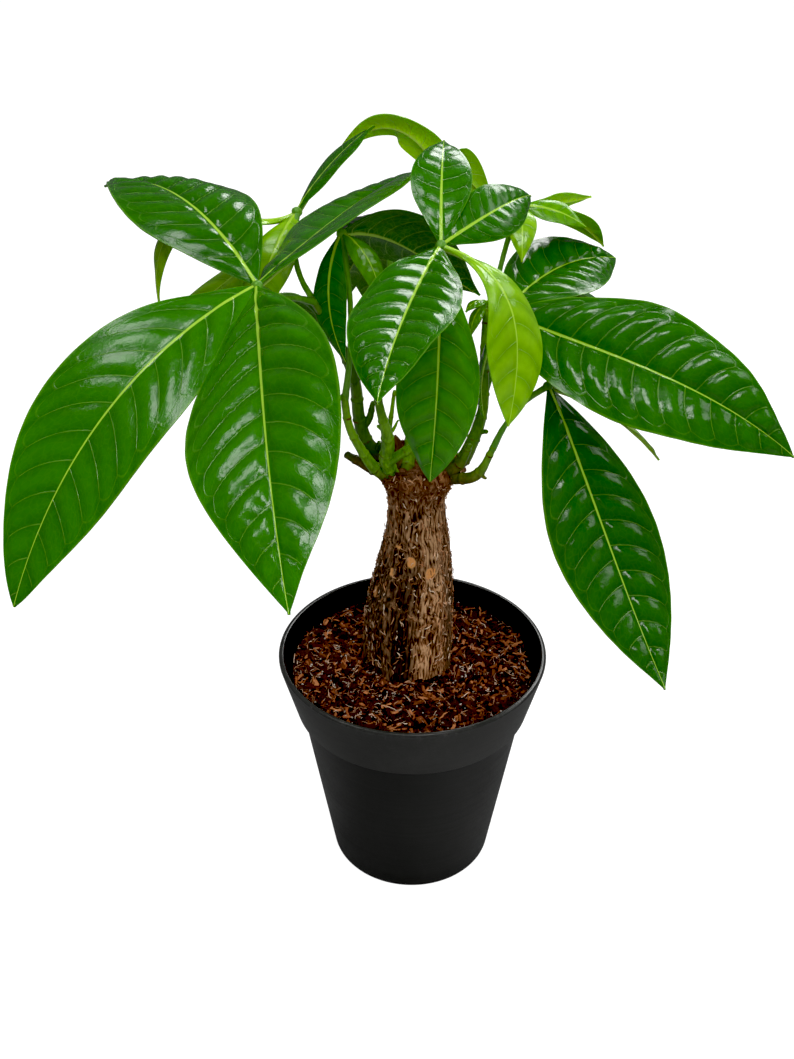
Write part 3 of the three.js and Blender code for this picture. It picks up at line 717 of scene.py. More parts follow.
def run_nodes(piece, tree, values):
    """Runs a geometry tree on an object, and leaves its result as the object's plain mesh."""
    modifier = piece.modifiers.new(tree.name, "NODES")
    modifier.node_group = tree
    names = {item.name: item.identifier for item in tree.interface.items_tree if item.in_out == "INPUT"}
    for name, value in values.items():
        modifier[names[name]] = value
    graph = bpy.context.evaluated_depsgraph_get()
    result = bpy.data.meshes.new_from_object(
        piece.evaluated_get(graph), preserve_all_data_layers=True, depsgraph=graph,
    )
    piece.modifiers.remove(modifier)
    if not result.polygons:
        raise RuntimeError(f"{tree.name} made nothing for {piece.name}")
    spent = piece.data
    piece.data = result
    bpy.data.meshes.remove(spent)
    result.name = piece.name


def run_along(piece, places, radii, steps, values):
    """Sweeps a stem through places in millimetres, its radii spread evenly, and adds it to an object."""
    thick = np.interp(np.linspace(0, 1, steps), np.linspace(0, 1, len(radii)), radii)
    route = new_route("route", smooth_route(places, steps), thick)
    run_nodes(piece, stem_tree(), {"Route": route, **values})
    bpy.data.objects.remove(route)


def strew(name, rings, sharp, tree, values):
    """Makes a piece of the copies that a tree strews over the skin between rings of points."""
    piece = ring_object(name, rings)
    run_nodes(piece, tree, values)
    settle(piece, sharp=sharp)


# Geometry trees
def circle(tree, sides, radius=1.0):
    """A flat ring round the Z axis."""
    return add(tree, "GeometryNodeCurvePrimitiveCircle", {"Resolution": sides, "Radius": radius})


def swept(path, profile, scale=1.0, caps=False):
    """A skin along a path with a profile across it."""
    values = {"Curve": path, "Profile Curve": profile, "Scale": scale, "Fill Caps": caps}
    return node("GeometryNodeCurveToMesh", values)


def marked(geometry, name, value, domain):
    """A geometry whose points or copies hold a number each, by a name."""
    values = {"Geometry": geometry, "Name": name, "Value": value}
    return node("GeometryNodeStoreNamedAttribute", values, data_type="FLOAT", domain=domain)


def realized(geometry):
    """A geometry with its copies turned into faces or curves of its own."""
    return node("GeometryNodeRealizeInstances", {"Geometry": geometry})


def dressed(geometry, given):
    """A geometry of the material that its tree is given."""
    return node("GeometryNodeSetMaterial", {"Geometry": geometry, "Material": given["Material"]})


def joined(*parts):
    """Several geometries as one."""
    made = add(parts[0].tree, "GeometryNodeJoinGeometry")
    for part in parts:
        feed(made.socket.node.inputs[0], part)
    return made


def random_vector(low, high, seed):
    """A vector between two, of its own for each copy."""
    return node("FunctionNodeRandomValue", {0: low, 1: high, 8: seed}, data_type="FLOAT_VECTOR")


def crumpled(geometry, amount, size):
    """Every point of a geometry pushed a little by smooth noise, so that no two copies stay alike."""
    place = add(geometry.tree, "GeometryNodeInputPosition")
    noise = {"Vector": place, "Scale": 1.0 / size, "Detail": 1.0}
    push = vector("SUBTRACT", node("ShaderNodeTexNoise", noise)["Color"], (0.5, 0.5, 0.5))
    return node("GeometryNodeSetPosition", {"Geometry": geometry, "Offset": scaled(push, amount)})


def kept_within(geometry, reach):
    """Every point of a geometry drawn in to a distance from the Z axis, if it lies farther out."""
    place = add(geometry.tree, "GeometryNodeInputPosition")
    share = number("MINIMUM", reach / number("MAXIMUM", from_axis(place), 1e-6), 1.0)
    drawn = vector("MULTIPLY", place, combined(share, share, 1.0))
    return node("GeometryNodeSetPosition", {"Geometry": geometry, "Position": drawn})


def turned_shell_tree():
    """A profile turned round the Z axis, its corners rounded, with a ring of holes through its floor."""
    tree, given, taken = geometry_tree(
        "Turned Shell",
        {
            "Profile": "Object", "Segments": 96, "Axis Offset": 0.01, "Hole Count": 6, "Hole Radius": 0.003,
            "Hole Ring": 0.02, "Hole Depth": 0.01,
        },
    )
    profile = node("GeometryNodeObjectInfo", {"Object": given["Profile"]})["Geometry"]
    radius = add(tree, "GeometryNodeInputRadius")
    corners = {"Curve": profile, "Count": 5, "Radius": radius, "Limit Radius": True}
    rounded = node("GeometryNodeFilletCurve", corners, mode="POLY")
    skin = swept(circle(tree, given["Segments"], given["Axis Offset"]), rounded)
    closed = node("GeometryNodeMergeByDistance", {"Geometry": skin, "Distance": 1e-5})
    ring = circle(tree, given["Hole Count"], given["Hole Ring"])
    sizes = {"Vertices": 32, "Radius": given["Hole Radius"], "Depth": given["Hole Depth"]}
    drill = node("GeometryNodeMeshCylinder", sizes)
    spots = node("GeometryNodeCurveToPoints", {"Curve": ring}, mode="EVALUATED")
    drills = node("GeometryNodeInstanceOnPoints", {"Points": spots, "Instance": drill})
    cut = {"Mesh 1": closed, "Mesh 2": realized(drills)}
    shell = node("GeometryNodeMeshBoolean", cut, operation="DIFFERENCE")
    feed(taken["Geometry"], dressed(realized(shell), given))
    return tree


@cache
def stem_tree():
    """A round stem swept along a route that holds its radii, with uneven bark, joined to what is there."""
    tree, given, taken = geometry_tree(
        "Stem Along Route",
        {
            "Route": "Object", "Sides": 16, "Step": 0.0006, "Joints Apart": 0.009, "Joint Swelling": 0.12,
            "Roughness": 0.0002, "Knob": 0.0, "Knob Place": "Vector",
        },
    )
    route = node("GeometryNodeObjectInfo", {"Object": given["Route"]})["Geometry"]
    even = node("GeometryNodeResampleCurve", {"Curve": route, "Length": given["Step"]}, mode="LENGTH")
    turns = add(tree, "GeometryNodeSplineParameter")["Length"] / given["Joints Apart"]
    swelling = remap(number("PINGPONG", turns, 0.5), 0.0, 0.11, 1.0, 0.0)
    radius = add(tree, "GeometryNodeInputRadius") * (swelling * given["Joint Swelling"] + 1.0)
    skin = swept(marked(even, "joint", swelling, "POINT"), circle(tree, given["Sides"]), radius, True)
    rough = crumpled(skin, given["Roughness"], STEM_GRAIN)
    ball = node("GeometryNodeMeshIcoSphere", {"Radius": given["Knob"], "Subdivisions": 4})
    knob = node("GeometryNodeTransform", {"Geometry": ball, "Translation": given["Knob Place"]})
    stem = joined(crumpled(knob, KNOB_ROUGHNESS, STEM_GRAIN), rough)
    smooth = node("GeometryNodeSetShadeSmooth", {"Geometry": stem})
    feed(taken["Geometry"], realized(joined(dressed(smooth, given), given["Geometry"])))
    return tree


SCATTER_INPUTS = {
    "Density": 1000.0, "Lowest": -1.0, "Highest": 1.0, "Smallest": "Vector", "Largest": "Vector",
    "Tilt": 0.4, "Spin": math.pi, "Grain": "Vector", "Lift": 0.0, "Crumple": 0.0005, "Crumple Size": 0.002,
    "Reach": 1.0, "Seed": 0,
}


def scattered(given, piece):
    """Copies of a piece strewn over the part of a surface between two heights, each with its own tint."""
    height = separated(add(piece.tree, "GeometryNodeInputPosition"))["Z"]
    seed = given["Seed"]
    shown = number("GREATER_THAN", height, given["Lowest"]) * number("LESS_THAN", height, given["Highest"])
    surface = {"Mesh": given["Geometry"], "Selection": shown, "Density": given["Density"], "Seed": seed}
    spots = node("GeometryNodeDistributePointsOnFaces", surface)
    most = combined(given["Tilt"], given["Tilt"], given["Spin"])
    spun = node("FunctionNodeEulerToRotation", {0: random_vector(scaled(most, -1.0), most, seed)})
    axes = {"Primary Axis": spots["Normal"], "Secondary Axis": given["Grain"]}
    lying = node("FunctionNodeAxesToRotation", axes, primary_axis="Z", secondary_axis="X")
    rotation = node("FunctionNodeRotateRotation", {0: lying, 1: spun}, rotation_space="LOCAL")
    size = random_vector(given["Smallest"], given["Largest"], seed + 1.0)
    placed = {"Points": spots, "Instance": piece, "Rotation": rotation, "Scale": size}
    copies = node("GeometryNodeInstanceOnPoints", placed)
    lift = {"Instances": copies, "Translation": combined(z=given["Lift"]), "Local Space": True}
    lifted = node("GeometryNodeTranslateInstances", lift)
    tint = node("FunctionNodeRandomValue", {2: 0.0, 3: 1.0, 8: seed + 2.0}, data_type="FLOAT")[1]
    return realized(marked(lifted, "tint", tint, "INSTANCE"))


def strewn(given, piece):
    """Scattered copies, each crumpled in its own way and kept within reach of the Z axis."""
    copies = crumpled(scattered(given, piece), given["Crumple"], given["Crumple Size"])
    return kept_within(copies, given["Reach"])


def finish_scatter(given, taken, copies):
    """Ends a tree with its copies shaded flat and of its material."""
    flat = node("GeometryNodeSetShadeSmooth", {"Geometry": copies, "Shade Smooth": False})
    feed(taken["Geometry"], dressed(realized(flat), given))


@cache
def chips_tree():
    """Flat chips strewn over a surface, each crumpled in its own way."""
    tree, given, taken = geometry_tree("Strewn Chips", SCATTER_INPUTS)
    block = {"Size": (1.0, 1.0, 1.0), "Vertices X": 4, "Vertices Y": 2, "Vertices Z": 2}
    finish_scatter(given, taken, strewn(given, add(tree, "GeometryNodeMeshCube", block)))
    return tree


@cache
def fibres_tree():
    """Thin fibres strewn over a surface, each curled in its own way and given a thin section."""
    tree, given, taken = geometry_tree("Strewn Fibres", {**SCATTER_INPUTS, "Radius": 0.0001, "Steps": 8})
    ends = {"Start": (-0.5, 0.0, 0.0), "End": (0.5, 0.0, 0.0)}
    line = {"Curve": add(tree, "GeometryNodeCurvePrimitiveLine", ends), "Count": given["Steps"]}
    fibres = strewn(given, node("GeometryNodeResampleCurve", line, mode="COUNT"))
    along = add(tree, "GeometryNodeSplineParameter")["Factor"]
    swell = remap(number("PINGPONG", along, 0.5), 0.0, 0.25, 0.3, 1.0)
    own = add(tree, "GeometryNodeInputNamedAttribute", {"Name": "tint"}, data_type="FLOAT")
    radius = swell * (number("FRACT", own * 7.0) * 0.8 + 0.6) * given["Radius"]
    finish_scatter(given, taken, swept(fibres, circle(tree, 3), radius, True))
    return tree


# Shader node groups
@cache
def mottle_group():
    """A colour that wanders between two, in large blotches and small ones."""
    tree, given, taken = new_tree(
        "Mottle", "ShaderNodeTree",
        {"Vector": "Vector", "First": "Color", "Second": "Color", "Blotch Scale": 60.0, "Grain Scale": 900.0},
        {"Colour": "Color", "Mask": "Float"},
    )
    blotches = cloud(given["Vector"], given["Blotch Scale"], 3)
    grain = cloud(given["Vector"], given["Grain Scale"], 2)
    mask = remap(grain * 0.35 + blotches * 0.65, 0.36, 0.64)
    feed(taken["Colour"], mixed(mask, given["First"], given["Second"]))
    feed(taken["Mask"], mask)
    return tree


@cache
def relief_group():
    """A normal roughened by noise at two sizes."""
    tree, given, taken = new_tree(
        "Fine Relief", "ShaderNodeTree",
        {"Vector": "Vector", "Coarse Scale": 300.0, "Fine Scale": 1500.0, "Strength": 0.2, "Depth": 0.0003},
        {"Normal": "Vector"},
    )
    coarse = cloud(given["Vector"], given["Coarse Scale"], 3)
    fine = cloud(given["Vector"], given["Fine Scale"], 2)
    feed(taken["Normal"], bumped(fine * 0.4 + coarse, given["Strength"], given["Depth"]))
    return tree


@cache
def leaf_pattern_group():
    """Midrib, side veins with their loops, margin and fine net of a leaflet, from its own two UV maps."""
    tree, given, taken = new_tree(
        "Leaf Pattern", "ShaderNodeTree", {"Vein Width": 0.03, "Rib Width": 0.006},
        {"Midrib": "Float", "Veins": "Float", "Margin": "Float", "Net": "Float", "Swelling": "Float"},
    )
    blade = separated(add(tree, "ShaderNodeUVMap", uv_map="blade"))
    veins = separated(add(tree, "ShaderNodeUVMap", uv_map="veins"))
    side = abs(veins["Y"] * 2.0 - 1.0)
    off_rib = abs(blade["Y"] - 0.5)
    rib_width = given["Rib Width"] * remap(blade["X"], 0.0, 1.0, 1.0, 0.22)
    feed(taken["Midrib"], remap(off_rib / rib_width, 0.55, 1.1, 1.0, 0.0))
    nearest = number("PINGPONG", veins["X"], 0.5)
    line = remap(nearest, given["Vein Width"] * 0.35, given["Vein Width"], 1.0, 0.0)
    inner = remap(side, 0.72, 0.86, 1.0, 0.0)
    arch = number("SINE", number("FRACT", veins["X"]) * math.pi)
    off_loop = abs(side - (arch * 0.1 + 0.79))
    loop = remap(off_loop, 0.004, 0.018, 1.0, 0.0) * 0.35
    wobble = cloud(combined(veins["X"], veins["Y"]), 6.0, 2)
    uneven = remap(wobble, 0.3, 0.6, 0.45, 1.0)
    feed(taken["Veins"], number("MAXIMUM", line * inner, loop) * uneven)
    feed(taken["Margin"], remap(side, 0.955, 0.99))
    net = {"Vector": combined(veins["X"], blade["Y"] * 12.0), "Scale": 4.5}
    cells = node("ShaderNodeTexVoronoi", net, feature="DISTANCE_TO_EDGE")["Distance"]
    feed(taken["Net"], remap(cells, 0.02, 0.09, 1.0, 0.0))
    # Swelling is 0 on a side vein and rises to 1 away from it; the upper side paints shade with it.
    feed(taken["Swelling"], remap(nearest, 0.0, 0.4))
    return tree


# Parts of materials
def mixed(share, first, second, mode="MIX"):
    """A share of the second colour mixed into the first."""
    return node("ShaderNodeMix", {0: share, 6: first, 7: second}, data_type="RGBA", blend_type=mode)[2]


def multiplied(colour, by):
    """A colour with each of its parts multiplied."""
    return mixed(1.0, colour, by, "MULTIPLY")


def ramp(value, *stops):
    """A colour for each value, through (place, colour) stops that begin with the first and the last."""
    made = node("ShaderNodeValToRGB", {0: value})
    elements = made.socket.node.color_ramp.elements
    for index, (place, colour) in enumerate(stops):
        stop = elements[index] if index < 2 else elements.new(place)
        stop.position = place
        stop.color = (*colour, 1)
    return made


def attribute(tree, name):
    """A number that the points of a mesh hold."""
    return add(tree, "ShaderNodeAttribute", attribute_name=name)["Fac"]


def stretched(place, *scale):
    """Coordinates in which a pattern is drawn out along each axis that has a small scale."""
    return node("ShaderNodeMapping", {"Vector": place, "Scale": scale})


def bumped(height, strength, depth):
    """A normal that follows a height."""
    return node("ShaderNodeBump", {"Strength": strength, "Distance": depth, "Height": height})


def mottled(place, first, second, blotch, grain):
    """Colour and mask of the mottle group, at a scale of its blotches and one of its grain."""
    values = {"Vector": place, "First": first, "Second": second, "Blotch Scale": blotch, "Grain Scale": grain}
    return node("ShaderNodeGroup", values, node_tree=mottle_group())


def relief(place, coarse, fine, strength, depth):
    """Normal of the relief group, at a coarse scale and a fine one."""
    scales = {"Coarse Scale": coarse, "Fine Scale": fine}
    values = {"Vector": place, **scales, "Strength": strength, "Depth": depth}
    return node("ShaderNodeGroup", values, node_tree=relief_group())


def new_material(name):
    """A material, its tree, the inputs of its shader and its Object coordinates."""
    material = bpy.data.materials.new(name)
    material.use_nodes = True
    tree = material.node_tree
    return material, tree, tree.nodes["Principled BSDF"].inputs, add(tree, "ShaderNodeTexCoord")["Object"]


def finish(shader, colour, roughness, normal, shine=0.5):
    """Feeds a shader with what all materials of the plant and its pot have."""
    feed(shader["Base Color"], colour)
    feed(shader["Roughness"], roughness)
    feed(shader["Normal"], normal)
    feed(shader["Specular IOR Level"], shine)


def lit_through(shader):
    """Lets light spread inside a thin blade, so that it glows where it is lit from behind."""
    feed(shader["Subsurface Weight"], 0.35)
    feed(shader["Subsurface Radius"], (0.6, 1, 0.2))
    feed(shader["Subsurface Scale"], 0.8 * MM)


# Materials
@cache
def leaf_upper():
    """Glossy upper side of a leaflet: green by age, pale midrib and veins, quilted and netted, with painted
    shade in its vein grooves and a pale margin that is partly a painted edge highlight.
    """
    settings = bpy.context.scene.money_tree_leaf
    material, tree, shader, place = new_material("leaf_upper")
    pattern = add(tree, "ShaderNodeGroup", node_tree=leaf_pattern_group())
    base = ramp(
        attribute(tree, "fresh"), (0, settings.old_colour), (1, settings.young_colour),
        (0.16, (0.029, 0.176, 0.0015)), (0.3, (0.052, 0.25, 0.003)), (0.6, (0.125, 0.36, 0.005)),
    )
    blotched = mottled(place, multiplied(base, (0.8, 0.84, 0.8)), base, 55, 420)
    # Painted shade: darker green in the vein grooves, fading to the plain colour on the swellings between
    # them.
    swollen = mixed(pattern["Swelling"], multiplied(blotched, (0.74, 0.81, 0.74)), blotched)
    netted = mixed(pattern["Net"] * 0.025, swollen, (0.3, 0.6, 0.04))
    veined = mixed(pattern["Veins"] * 0.2, netted, (0.4, 0.72, 0.1))
    # Pale margin: partly the blade's own paler edge, partly a painted edge highlight.
    edged = mixed(pattern["Margin"] * 0.45, veined, (0.14, 0.34, 0.02))
    ribbed = mixed(pattern["Midrib"] * 0.85, edged, (0.4, 0.66, 0.06))
    roughness = remap(cloud(place, 240, 3), 0.3, 0.7, 0.13, 0.23)
    height = cloud(place, 700, 3) * 0.42 - pattern["Veins"] - pattern["Net"] * 0.05
    finish(shader, ribbed, roughness, bumped(height, 0.5, 0.0003))
    lit_through(shader)
    return material


@cache
def leaf_under():
    """Matt under side of a leaflet, paler than the top, with raised yellow-green veins."""
    material, tree, shader, place = new_material("leaf_under")
    pattern = add(tree, "ShaderNodeGroup", {"Vein Width": 0.05}, node_tree=leaf_pattern_group())
    fresh = attribute(tree, "fresh")
    base = ramp(fresh, (0, (0.05, 0.2, 0.01)), (1, (0.52, 0.86, 0.02)), (0.5, (0.2, 0.45, 0.012)))
    blotched = mottled(place, multiplied(base, (0.75, 0.78, 0.7)), base, 70, 600)
    netted = mixed(pattern["Net"] * 0.25, blotched, (0.25, 0.45, 0.09))
    veined = mixed(pattern["Veins"] * 0.6, netted, (0.33, 0.55, 0.12))
    ribbed = mixed(pattern["Midrib"] * 0.9, veined, (0.42, 0.62, 0.1))
    roughness = remap(cloud(place, 300, 3), 0.3, 0.7, 0.42, 0.58)
    finish(shader, ribbed, roughness, bumped(pattern["Net"] * 0.3 + pattern["Veins"], 0.5, 0.0003))
    lit_through(shader)
    return material


@cache
def petiole_skin():
    """Smooth green skin of the leaf stalks and hubs, mottled along them."""
    material, _, shader, place = new_material("petiole_skin")
    green = mottled(stretched(place, 1, 1, 0.25), (0.075, 0.24, 0.018), (0.16, 0.38, 0.035), 130, 1500)
    roughness = remap(cloud(place, 500, 2), 0.3, 0.7, 0.3, 0.48)
    finish(shader, green, roughness, relief(stretched(place, 1, 1, 0.2), 900, 3000, 0.25, 0.0002))
    return material


@cache
def shoot_skin(green):
    """Bark of a shoot: corky brown near the trunk and on its joints, green between them."""
    material, tree, shader, place = new_material(f"shoot_skin_{round(100 * green):02d}")
    fresh = mottled(stretched(place, 1, 1, 0.35), (0.11, 0.29, 0.006), (0.32, 0.66, 0.02), 160, 1200)
    leafy = mixed(green, (0.018, 0.04, 0.006), fresh)
    cork = mottled(place, (0.035, 0.013, 0.006), (0.18, 0.075, 0.03), 300, 1600)
    low = remap(separated(place)["Z"], 0.17, 0.17 + 0.024 * (1.15 - green), 1.0, 0.0)
    scars = remap(cloud(place, 190, 4, 0.7), 0.6 + 0.06 * green, 0.68 + 0.06 * green)
    patchy = remap(cloud(place, 260, 3), 0.48, 0.64)
    ringed = remap(attribute(tree, "joint"), 0.35, 0.9) * patchy
    brown = number("MAXIMUM", low * 0.9, number("MAXIMUM", scars, ringed))
    roughness = remap(brown, 0.0, 1.0, 0.3, 0.8)
    finish(shader, mixed(brown, leafy, cork), roughness, relief(place, 500, 1800, 0.3, 0.0004))
    return material


@cache
def trunk_bark():
    """Fibrous bark: darker furrows and paler ridges, partly painted shade; a tan strip and paler upper trunk,
    partly wear and partly painted light; painted shade in one deep furrow; orange where it has peeled and
    red-brown at the top.
    """
    settings = bpy.context.scene.money_tree_trunk
    material, tree, shader, place = new_material("trunk_bark")
    fibres = cloud(stretched(place, 1, 1, 0.14), 1700, 5, 0.7, 0.9)
    # Darker in the furrows and paler on the ridges: partly the bark's own colour, partly painted shade.
    mixture = fibres * 0.55 + attribute(tree, "ridge") * 0.45
    brown = ramp(mixture, (0.35, settings.dark), (0.62, settings.pale), (0.48, (0.11, 0.058, 0.03)))
    flecks = remap(cloud(stretched(place, 1, 1, 0.4), 700, 2, 0.5, 1.5), 0.66, 0.72)
    flecked = mixed(flecks * 0.7, brown, (0.44, 0.27, 0.15))
    warm = ramp(mixture, (0.35, (0.045, 0.017, 0.007)), (0.56, (1, 0.62, 0.34)), (0.45, (0.44, 0.19, 0.075)))
    # Tan strip and paler upper trunk: partly wear, partly painted light on the trunk's lit side.
    tanned = mixed(attribute(tree, "tan"), flecked, warm)
    # Painted shade along one deep furrow.
    painted_shade = mixed(attribute(tree, "furrow") * 0.75, tanned, (0.014, 0.008, 0.005))
    crown = remap(fibres * 0.012 + separated(place)["Z"], 0.163, 0.178)
    reddened = mixed(crown * 0.6, painted_shade, (0.2, 0.065, 0.022))
    orange = ramp(fibres, (0.3, (0.8, 0.32, 0.09)), (0.7, (1, 0.55, 0.22)))
    colour = mixed(attribute(tree, "peel"), reddened, orange)
    finish(shader, colour, remap(fibres, 0.3, 0.7, 0.62, 0.88), bumped(fibres, 1.0, 0.0008), 0.35)
    return material


def tinted(name, roughness, shine, *stops):
    """A loose material whose copies each take their own colour from the stops, with a fine grain."""
    material, tree, shader, place = new_material(name)
    speck = cloud(place, LOOSE_GRAIN, 3)
    shifted = number("ADD", (speck - 0.5) * 0.5, attribute(tree, "tint"), clamp=True)
    uneven = remap(speck, 0.3, 0.7, roughness - 0.1, roughness + 0.1)
    grain = relief(place, LOOSE_GRAIN, 3 * LOOSE_GRAIN, 0.4, 0.0003)
    finish(shader, ramp(shifted, *stops), uneven, grain, shine)
    return material


def soil_crumbs():
    """Nearly black damp soil between the chips."""
    material, _, shader, place = new_material("soil_crumbs")
    blotched = mottled(place, (0.004, 0.0025, 0.0018), (0.075, 0.03, 0.017), 420, 1700)
    roughness = remap(blotched["Mask"], 0.0, 1.0, 0.95, 0.7)
    finish(shader, blotched, roughness, relief(place, 500, 1600, 0.9, 0.001), 0.03)
    return material


def moulded_plastic():
    """Charcoal plastic: dust on the rim, a painted highlight along the band's lower edge, painted shade on
    the body under the band and on the inside of the wall.
    """
    colour = bpy.context.scene.money_tree_pot.colour
    material, _, shader, place = new_material("moulded_plastic")
    blotched = mottled(place, colour, [1.45 * part for part in colour], 40, 800)
    height = separated(place)["Z"]
    foot = BAND_FOOT * MM
    on_band = remap(height, foot - 0.0004, foot)
    # Painted shade: the body under the band darker than the band.
    body_shaded = mixed(on_band, multiplied(blotched, (0.55, 0.55, 0.55)), blotched)
    dust = remap(cloud(place, 330, 5, 0.7), 0.56, 0.75) * remap(height, 0.086, 0.0985) * 0.3
    dusted = mixed(dust, body_shaded, (0.16, 0.15, 0.14))
    # Painted shade: the inside of the wall darkened to near black.
    spread = (RIM_RADIUS - BAND_FOOT_RADIUS) / BAND_HEIGHT
    outer = height * spread + (RIM_RADIUS - spread * POT_HEIGHT) * MM
    inside = remap(outer - from_axis(place), 0.0018, 0.0023)
    painted_shade = mixed(inside * on_band, dusted, (0.005, 0.0045, 0.004))
    # Painted highlight: a paler line along the band's lower edge.
    worn = remap(height, foot, foot + 0.0006, 1.0, 0.0) * on_band * 0.4
    edged = mixed(worn, painted_shade, (0.12, 0.12, 0.115))
    lines = cloud(stretched(place, 0.02, 0.02, 1), 900, 2)
    smooth_lip = remap(height, POT_HEIGHT * MM - 0.0014, POT_HEIGHT * MM - 0.0006, 0.4, 0.14)
    roughness = (lines + blotched["Mask"]) * 0.08 + smooth_lip
    finish(shader, edged, roughness, bumped(lines * 0.5 + cloud(place, 2600, 2), 0.12, 0.0002), 0.45)
    return material


def floor_paint():
    """Pale paint that glows a little to the camera, which keeps the far floor white."""
    settings = bpy.context.scene.money_tree_stage
    material, tree, shader, place = new_material("floor_paint")
    colour = settings.floor_colour
    feed(shader["Base Color"], mottled(place, [0.985 * part for part in colour], colour, 3, 40))
    feed(shader["Roughness"], 0.9)
    feed(shader["Emission Color"], add(tree, "ShaderNodeLightPath")["Is Camera Ray"])
    feed(shader["Emission Strength"], settings.floor_glow)
    return material


# Stage
def area_light(name, place, size, power, mirrored=True):
    """An area light that faces the plant, of a width and height in metres. Gloss mirrors it or doesn't."""
    light = bpy.data.lights.new(name, "AREA")
    light.shape = "RECTANGLE"
    light.size, light.size_y = size
    light.energy = power
    made = bpy.data.objects.new(name, light)
    made.location = place
    made.rotation_euler = (Vector(LIT_PLACE) - Vector(place)).to_track_quat("-Z", "Y").to_euler()
    made.visible_glossy = mirrored
    bpy.context.scene.collection.objects.link(made)


def make_camera():
    """The camera that was fitted to the photograph."""
    camera = bpy.data.cameras.new("camera")
    camera.sensor_width = SENSOR
    camera.lens = FOCAL_PIXELS / max(PHOTO_WIDTH, PHOTO_HEIGHT) * SENSOR
    made = bpy.data.objects.new("camera", camera)
    made.location = [part * MM for part in CAMERA_PLACE]
    made.rotation_euler = (math.radians(90 - CAMERA_PITCH), 0, 0)
    bpy.context.scene.collection.objects.link(made)
    bpy.context.scene.camera = made


def make_floor():
    """A wide pale floor just under the pot."""
    corners = np.array([(-1, -1, 0), (1, -1, 0), (1, 1, 0), (-1, 1, 0)]) * FLOOR_REACH - UP * FLOOR_GAP
    floor = new_object("floor", corners, np.array([[0, 1, 2, 3]]), [floor_paint()])


def make_surroundings(settings):
    """Even light from all round, weaker where gloss reflects it and white to the camera."""
    world = bpy.data.worlds.new("studio")
    world.use_nodes = True
    background = world.node_tree.nodes["Background"].inputs
    rays = add(world.node_tree, "ShaderNodeLightPath")
    unseen = remap(rays["Is Glossy Ray"], 0.0, 1.0, settings.sky, settings.sky_shine)
    feed(background["Strength"], remap(rays["Is Camera Ray"], 0.0, 1.0, unseen, 1.0))
    feed(background["Color"], (1, 1, 1))
    bpy.context.scene.world = world


def deepen_blacks(settings):
    """Shows a little light as black, as the photograph does."""
    look = bpy.context.scene.view_settings
    look.view_transform = "Standard"
    look.use_curve_mapping = True
    look.curve_mapping.black_level = [settings.black_point] * 3
    look.curve_mapping.update()


class MONEYTREE_OT_stage(bpy.types.Operator):
    """Make the camera, the pale floor and the soft light"""

    bl_idname = "money_tree.stage"
    bl_label = "Stage"

    def execute(self, context):
        settings = context.scene.money_tree_stage
        make_camera()
        make_floor()
        area_light("key_light", (0.02, -0.28, 1.4), (0.4, 0.4), settings.key_power)
        area_light("back_light", (0.47, 0.92, 1.03), (0.9, 0.36), settings.back_power)
        area_light("side_light", (1.02, 0.2, 1.02), (0.6, 0.36), settings.side_power)
        area_light("left_light", (-0.52, 0.06, 1.38), (0.4, 0.3), settings.left_power)
        area_light("front_light", (0.3, -1.2, 1.1), (1.1, 0.9), settings.fill_power, mirrored=False)
        make_surroundings(settings)
        deepen_blacks(settings)
        return {"FINISHED"}


# Pot
def pot_inside(z, settings):
    """Inner radius of the pot at a height, in millimetres."""
    body = np.interp(z, (0, BAND_FOOT), (BASE_RADIUS, NECK_RADIUS)) - settings.wall / MM
    band = np.interp(z, (BAND_FOOT, POT_HEIGHT), (BAND_FOOT_RADIUS, RIM_RADIUS)) - settings.lip / MM
    return np.where(np.asarray(z) < BAND_FOOT - settings.wall / MM / 2, body, band)


def pot_profile(settings):
    """Points of the pot's section as radius, height and rounding, from under its middle up and in again."""
    wall, lip, floor = settings.wall / MM, settings.lip / MM, settings.floor / MM
    return [
        (0, 0, 0),
        (BASE_RADIUS - 5, 0, 0),
        (BASE_RADIUS, 0, 1.8),
        (NECK_RADIUS, BAND_FOOT, 0.3),
        (BAND_FOOT_RADIUS, BAND_FOOT, 0.7),
        (RIM_RADIUS, POT_HEIGHT, 1.1),
        (RIM_RADIUS - lip, POT_HEIGHT, 0.8),
        (BAND_FOOT_RADIUS - lip, BAND_FOOT, 0.4),
        (NECK_RADIUS - wall, BAND_FOOT - wall, 0.3),
        (BASE_RADIUS - wall, floor, 1.2),
        (0, floor, 0),
    ]


class MONEYTREE_OT_pot(bpy.types.Operator):
    """Turn the nursery pot and drill its floor"""

    bl_idname = "money_tree.pot"
    bl_label = "Nursery pot"

    def execute(self, context):
        settings = context.scene.money_tree_pot
        offset = 10
        section = pot_profile(settings)
        places = [(radius - offset, -height, 0) for radius, height, _ in section]
        profile = new_route("pot_profile", places, [rounding for *_, rounding in section])
        pot = carrier("nursery_pot")
        run_nodes(pot, turned_shell_tree(), {
            "Profile": profile, "Segments": settings.segments, "Axis Offset": offset * MM,
            "Hole Count": settings.hole_count, "Hole Radius": settings.hole_radius,
            "Hole Ring": settings.hole_ring, "Hole Depth": 4 * settings.floor, "Material": moulded_plastic(),
        })
        bpy.data.objects.remove(profile)
        pot.data.shade_smooth()
        settle(pot, "pot", sharp=50)
        return {"FINISHED"}


# Trunk
def trunk_rows(count, low=None):
    """Evenly spaced rows of the trunk as height, centre and radius."""
    rows = smooth_route(TRUNK_RINGS, count)
    return rows if low is None else rows[rows[:, 0] > low]


def around(sides):
    """The turns of points spaced evenly round an axis, as one row."""
    return np.linspace(0, TAU, sides, endpoint=False)[None, :]


